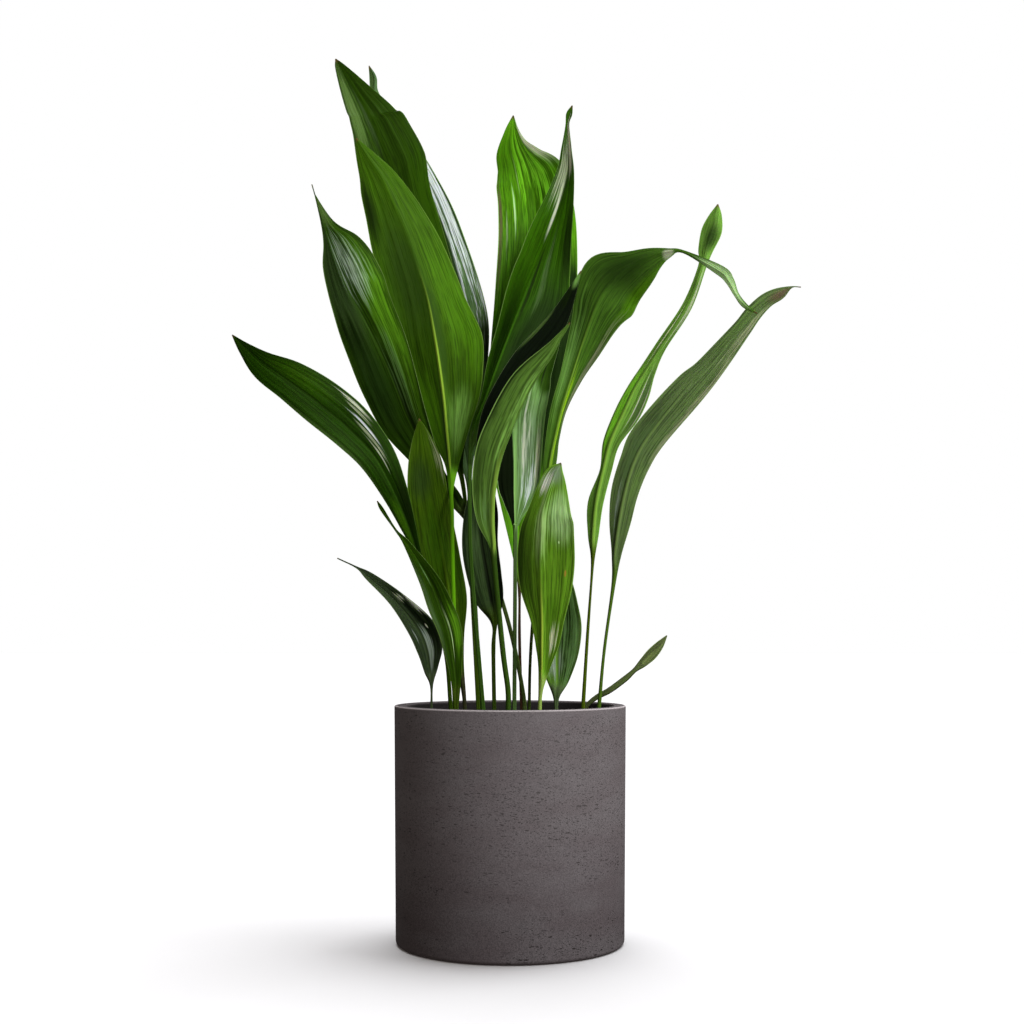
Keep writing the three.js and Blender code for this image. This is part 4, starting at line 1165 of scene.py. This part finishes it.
# %% [markdown]
# A draw picks each copy's place, size and turn in that order, and a place too near a stalk is
# drawn again. All copies then become one piece, because no crumb is a part of its own.

# %% Copy and join
stalk_feet = [place(*leaf["stations"][0][:3]) for leaf in leaves]
stalk_clearance = 3.5 * mm
wall_clearance = 5 * mm
litter_draw = random.Random("litter on the soil")


def join(pieces, name, finish, sharpest):
    """Make one piece of many, with this finish, smooth but for edges above an angle."""
    deselect()
    for piece in pieces:
        piece.select_set(True)
    bpy.context.view_layer.objects.active = pieces[0]
    bpy.ops.object.join()
    whole = bpy.context.object
    whole.name = name
    whole.data.materials.append(finish)
    bpy.ops.object.shade_smooth_by_angle(angle=math.radians(sharpest))
    print(name, len(whole.data.polygons), "faces")
    return whole


def scatter(name, kinds, count, size, shape, tilt, sunk, finish):
    """Copy the kinds over the soil. shape is how much of the size each axis gets."""
    copies = []
    while len(copies) < count:
        turn = litter_draw.uniform(0, 2 * math.pi)
        away = math.sqrt(litter_draw.random()) * (soil_radius - wall_clearance)
        reach = litter_draw.uniform(*size) * mm
        x, y = away * math.cos(turn), away * math.sin(turn)
        if any(math.hypot(x - foot[0], y - foot[1]) < reach + stalk_clearance for foot in stalk_feet):
            continue
        lean = Euler([litter_draw.uniform(-tilt, tilt), litter_draw.uniform(-tilt, tilt), 3 * turn])
        spot = Vector((x, y, soil_level(x, y) + (shape[2] - sunk) * reach))
        mesh = kinds[len(copies) % len(kinds)].data.copy()
        mesh.transform(Matrix.LocRotScale(spot, lean, Vector(shape) * reach))
        piece = bpy.data.objects.new(name, mesh)
        bpy.context.collection.objects.link(piece)
        copies.append(piece)
    litter = join(copies, name, finish, sharpest=35)
    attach(litter, "root")
    for kind in kinds:
        bpy.data.objects.remove(kind)


print("stalks to keep clear of:", len(stalk_feet))

# %% [markdown]
# The crumbs are soil themselves. The bark is pine, chipped and half rotted: dull, brown, and
# grained about 4 mm apart.

# %% Scatter them
bark_material, _, _, _ = mottled(
    "pine_bark_chipped", (260.0, 260.0, 260.0), 4.0, 0.65, 0.35, "#22160e", 0.68, "#5f4430", 0.85)
scatter("soil_crumbs", lumps, count=620, size=(0.9, 3.4), shape=(1, 0.85, 0.7),
        tilt=3.0, sunk=0.45, finish=soil_material)
scatter("bark_chips", chips, count=90, size=(2.2, 6.0), shape=(1, 0.5, 0.22),
        tilt=0.35, sunk=0.12, finish=bark_material)

# %% [markdown]
# ## Papery sheaths
#
# Every stalk of this plant comes out of the soil through a dry brown sheath, the scale that
# wrapped the young shoot. It is open on one side, pointed on the other, and thin as paper, with
# fibres about 1 mm apart that run up it. It could be cut from a cone, but a grid wrapped round
# the leaning stalk keeps close to it.

# %% Wrap the sheaths
sheath_gap = 0.45 * mm
sheath_paper = 0.22 * mm
sheath_wrap = 2.7
sheath_depth = 3 * mm


def wrap_sheath(leaf):
    """A scale of paper round the foot of a leaf's stalk."""
    draw = random.Random(leaf["name"] + " sheath")
    feet = np.array([place(*row[:3]) for row in leaf["stations"][:3]])
    root_radius = leaf["stations"][0][3] * mm + sheath_gap
    tall = draw.uniform(11, 22) * mm
    facing = draw.uniform(0, 2 * math.pi)
    flare = draw.uniform(0.2, 1.1) * mm
    deselect()
    bpy.ops.mesh.primitive_grid_add(x_subdivisions=18, y_subdivisions=8, size=2)
    sheath = bpy.context.object
    for vertex in sheath.data.vertices:
        around, up = vertex.co.x, (vertex.co.y + 1) / 2
        height = tall * up * (1 - 0.6 * abs(around) ** 1.5)
        z = soil_top - sheath_depth + height
        x = np.interp(z, feet[:, 2], feet[:, 0])
        y = np.interp(z, feet[:, 2], feet[:, 1])
        angle = facing + around * sheath_wrap
        radius = root_radius + flare * (height / tall) ** 2
        vertex.co = (x + radius * math.cos(angle), y + radius * math.sin(angle), z)
    solid = sheath.modifiers.new("paper", "SOLIDIFY")
    solid.thickness = sheath_paper
    solid.offset = 1.0
    bpy.ops.object.modifier_apply(modifier="paper")
    bpy.ops.object.mode_set(mode="EDIT")
    bpy.ops.mesh.select_all(action="SELECT")
    bpy.ops.mesh.normals_make_consistent(inside=False)
    bpy.ops.object.mode_set(mode="OBJECT")
    return sheath


sheath_material, _, sheath_shader, _ = mottled(
    "sheath_papery_dried", (900.0, 900.0, 60.0), 2.0, 0.5, 0.36, "#32200f", 0.64, "#7c5c34", 0.7)
feed(sheath_shader, {"Specular IOR Level": 0.2})
wrapped = [wrap_sheath(leaf) for leaf in leaves]
sheaths = join(wrapped, "stalk_sheaths", sheath_material, sharpest=50)
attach(sheaths, "root")
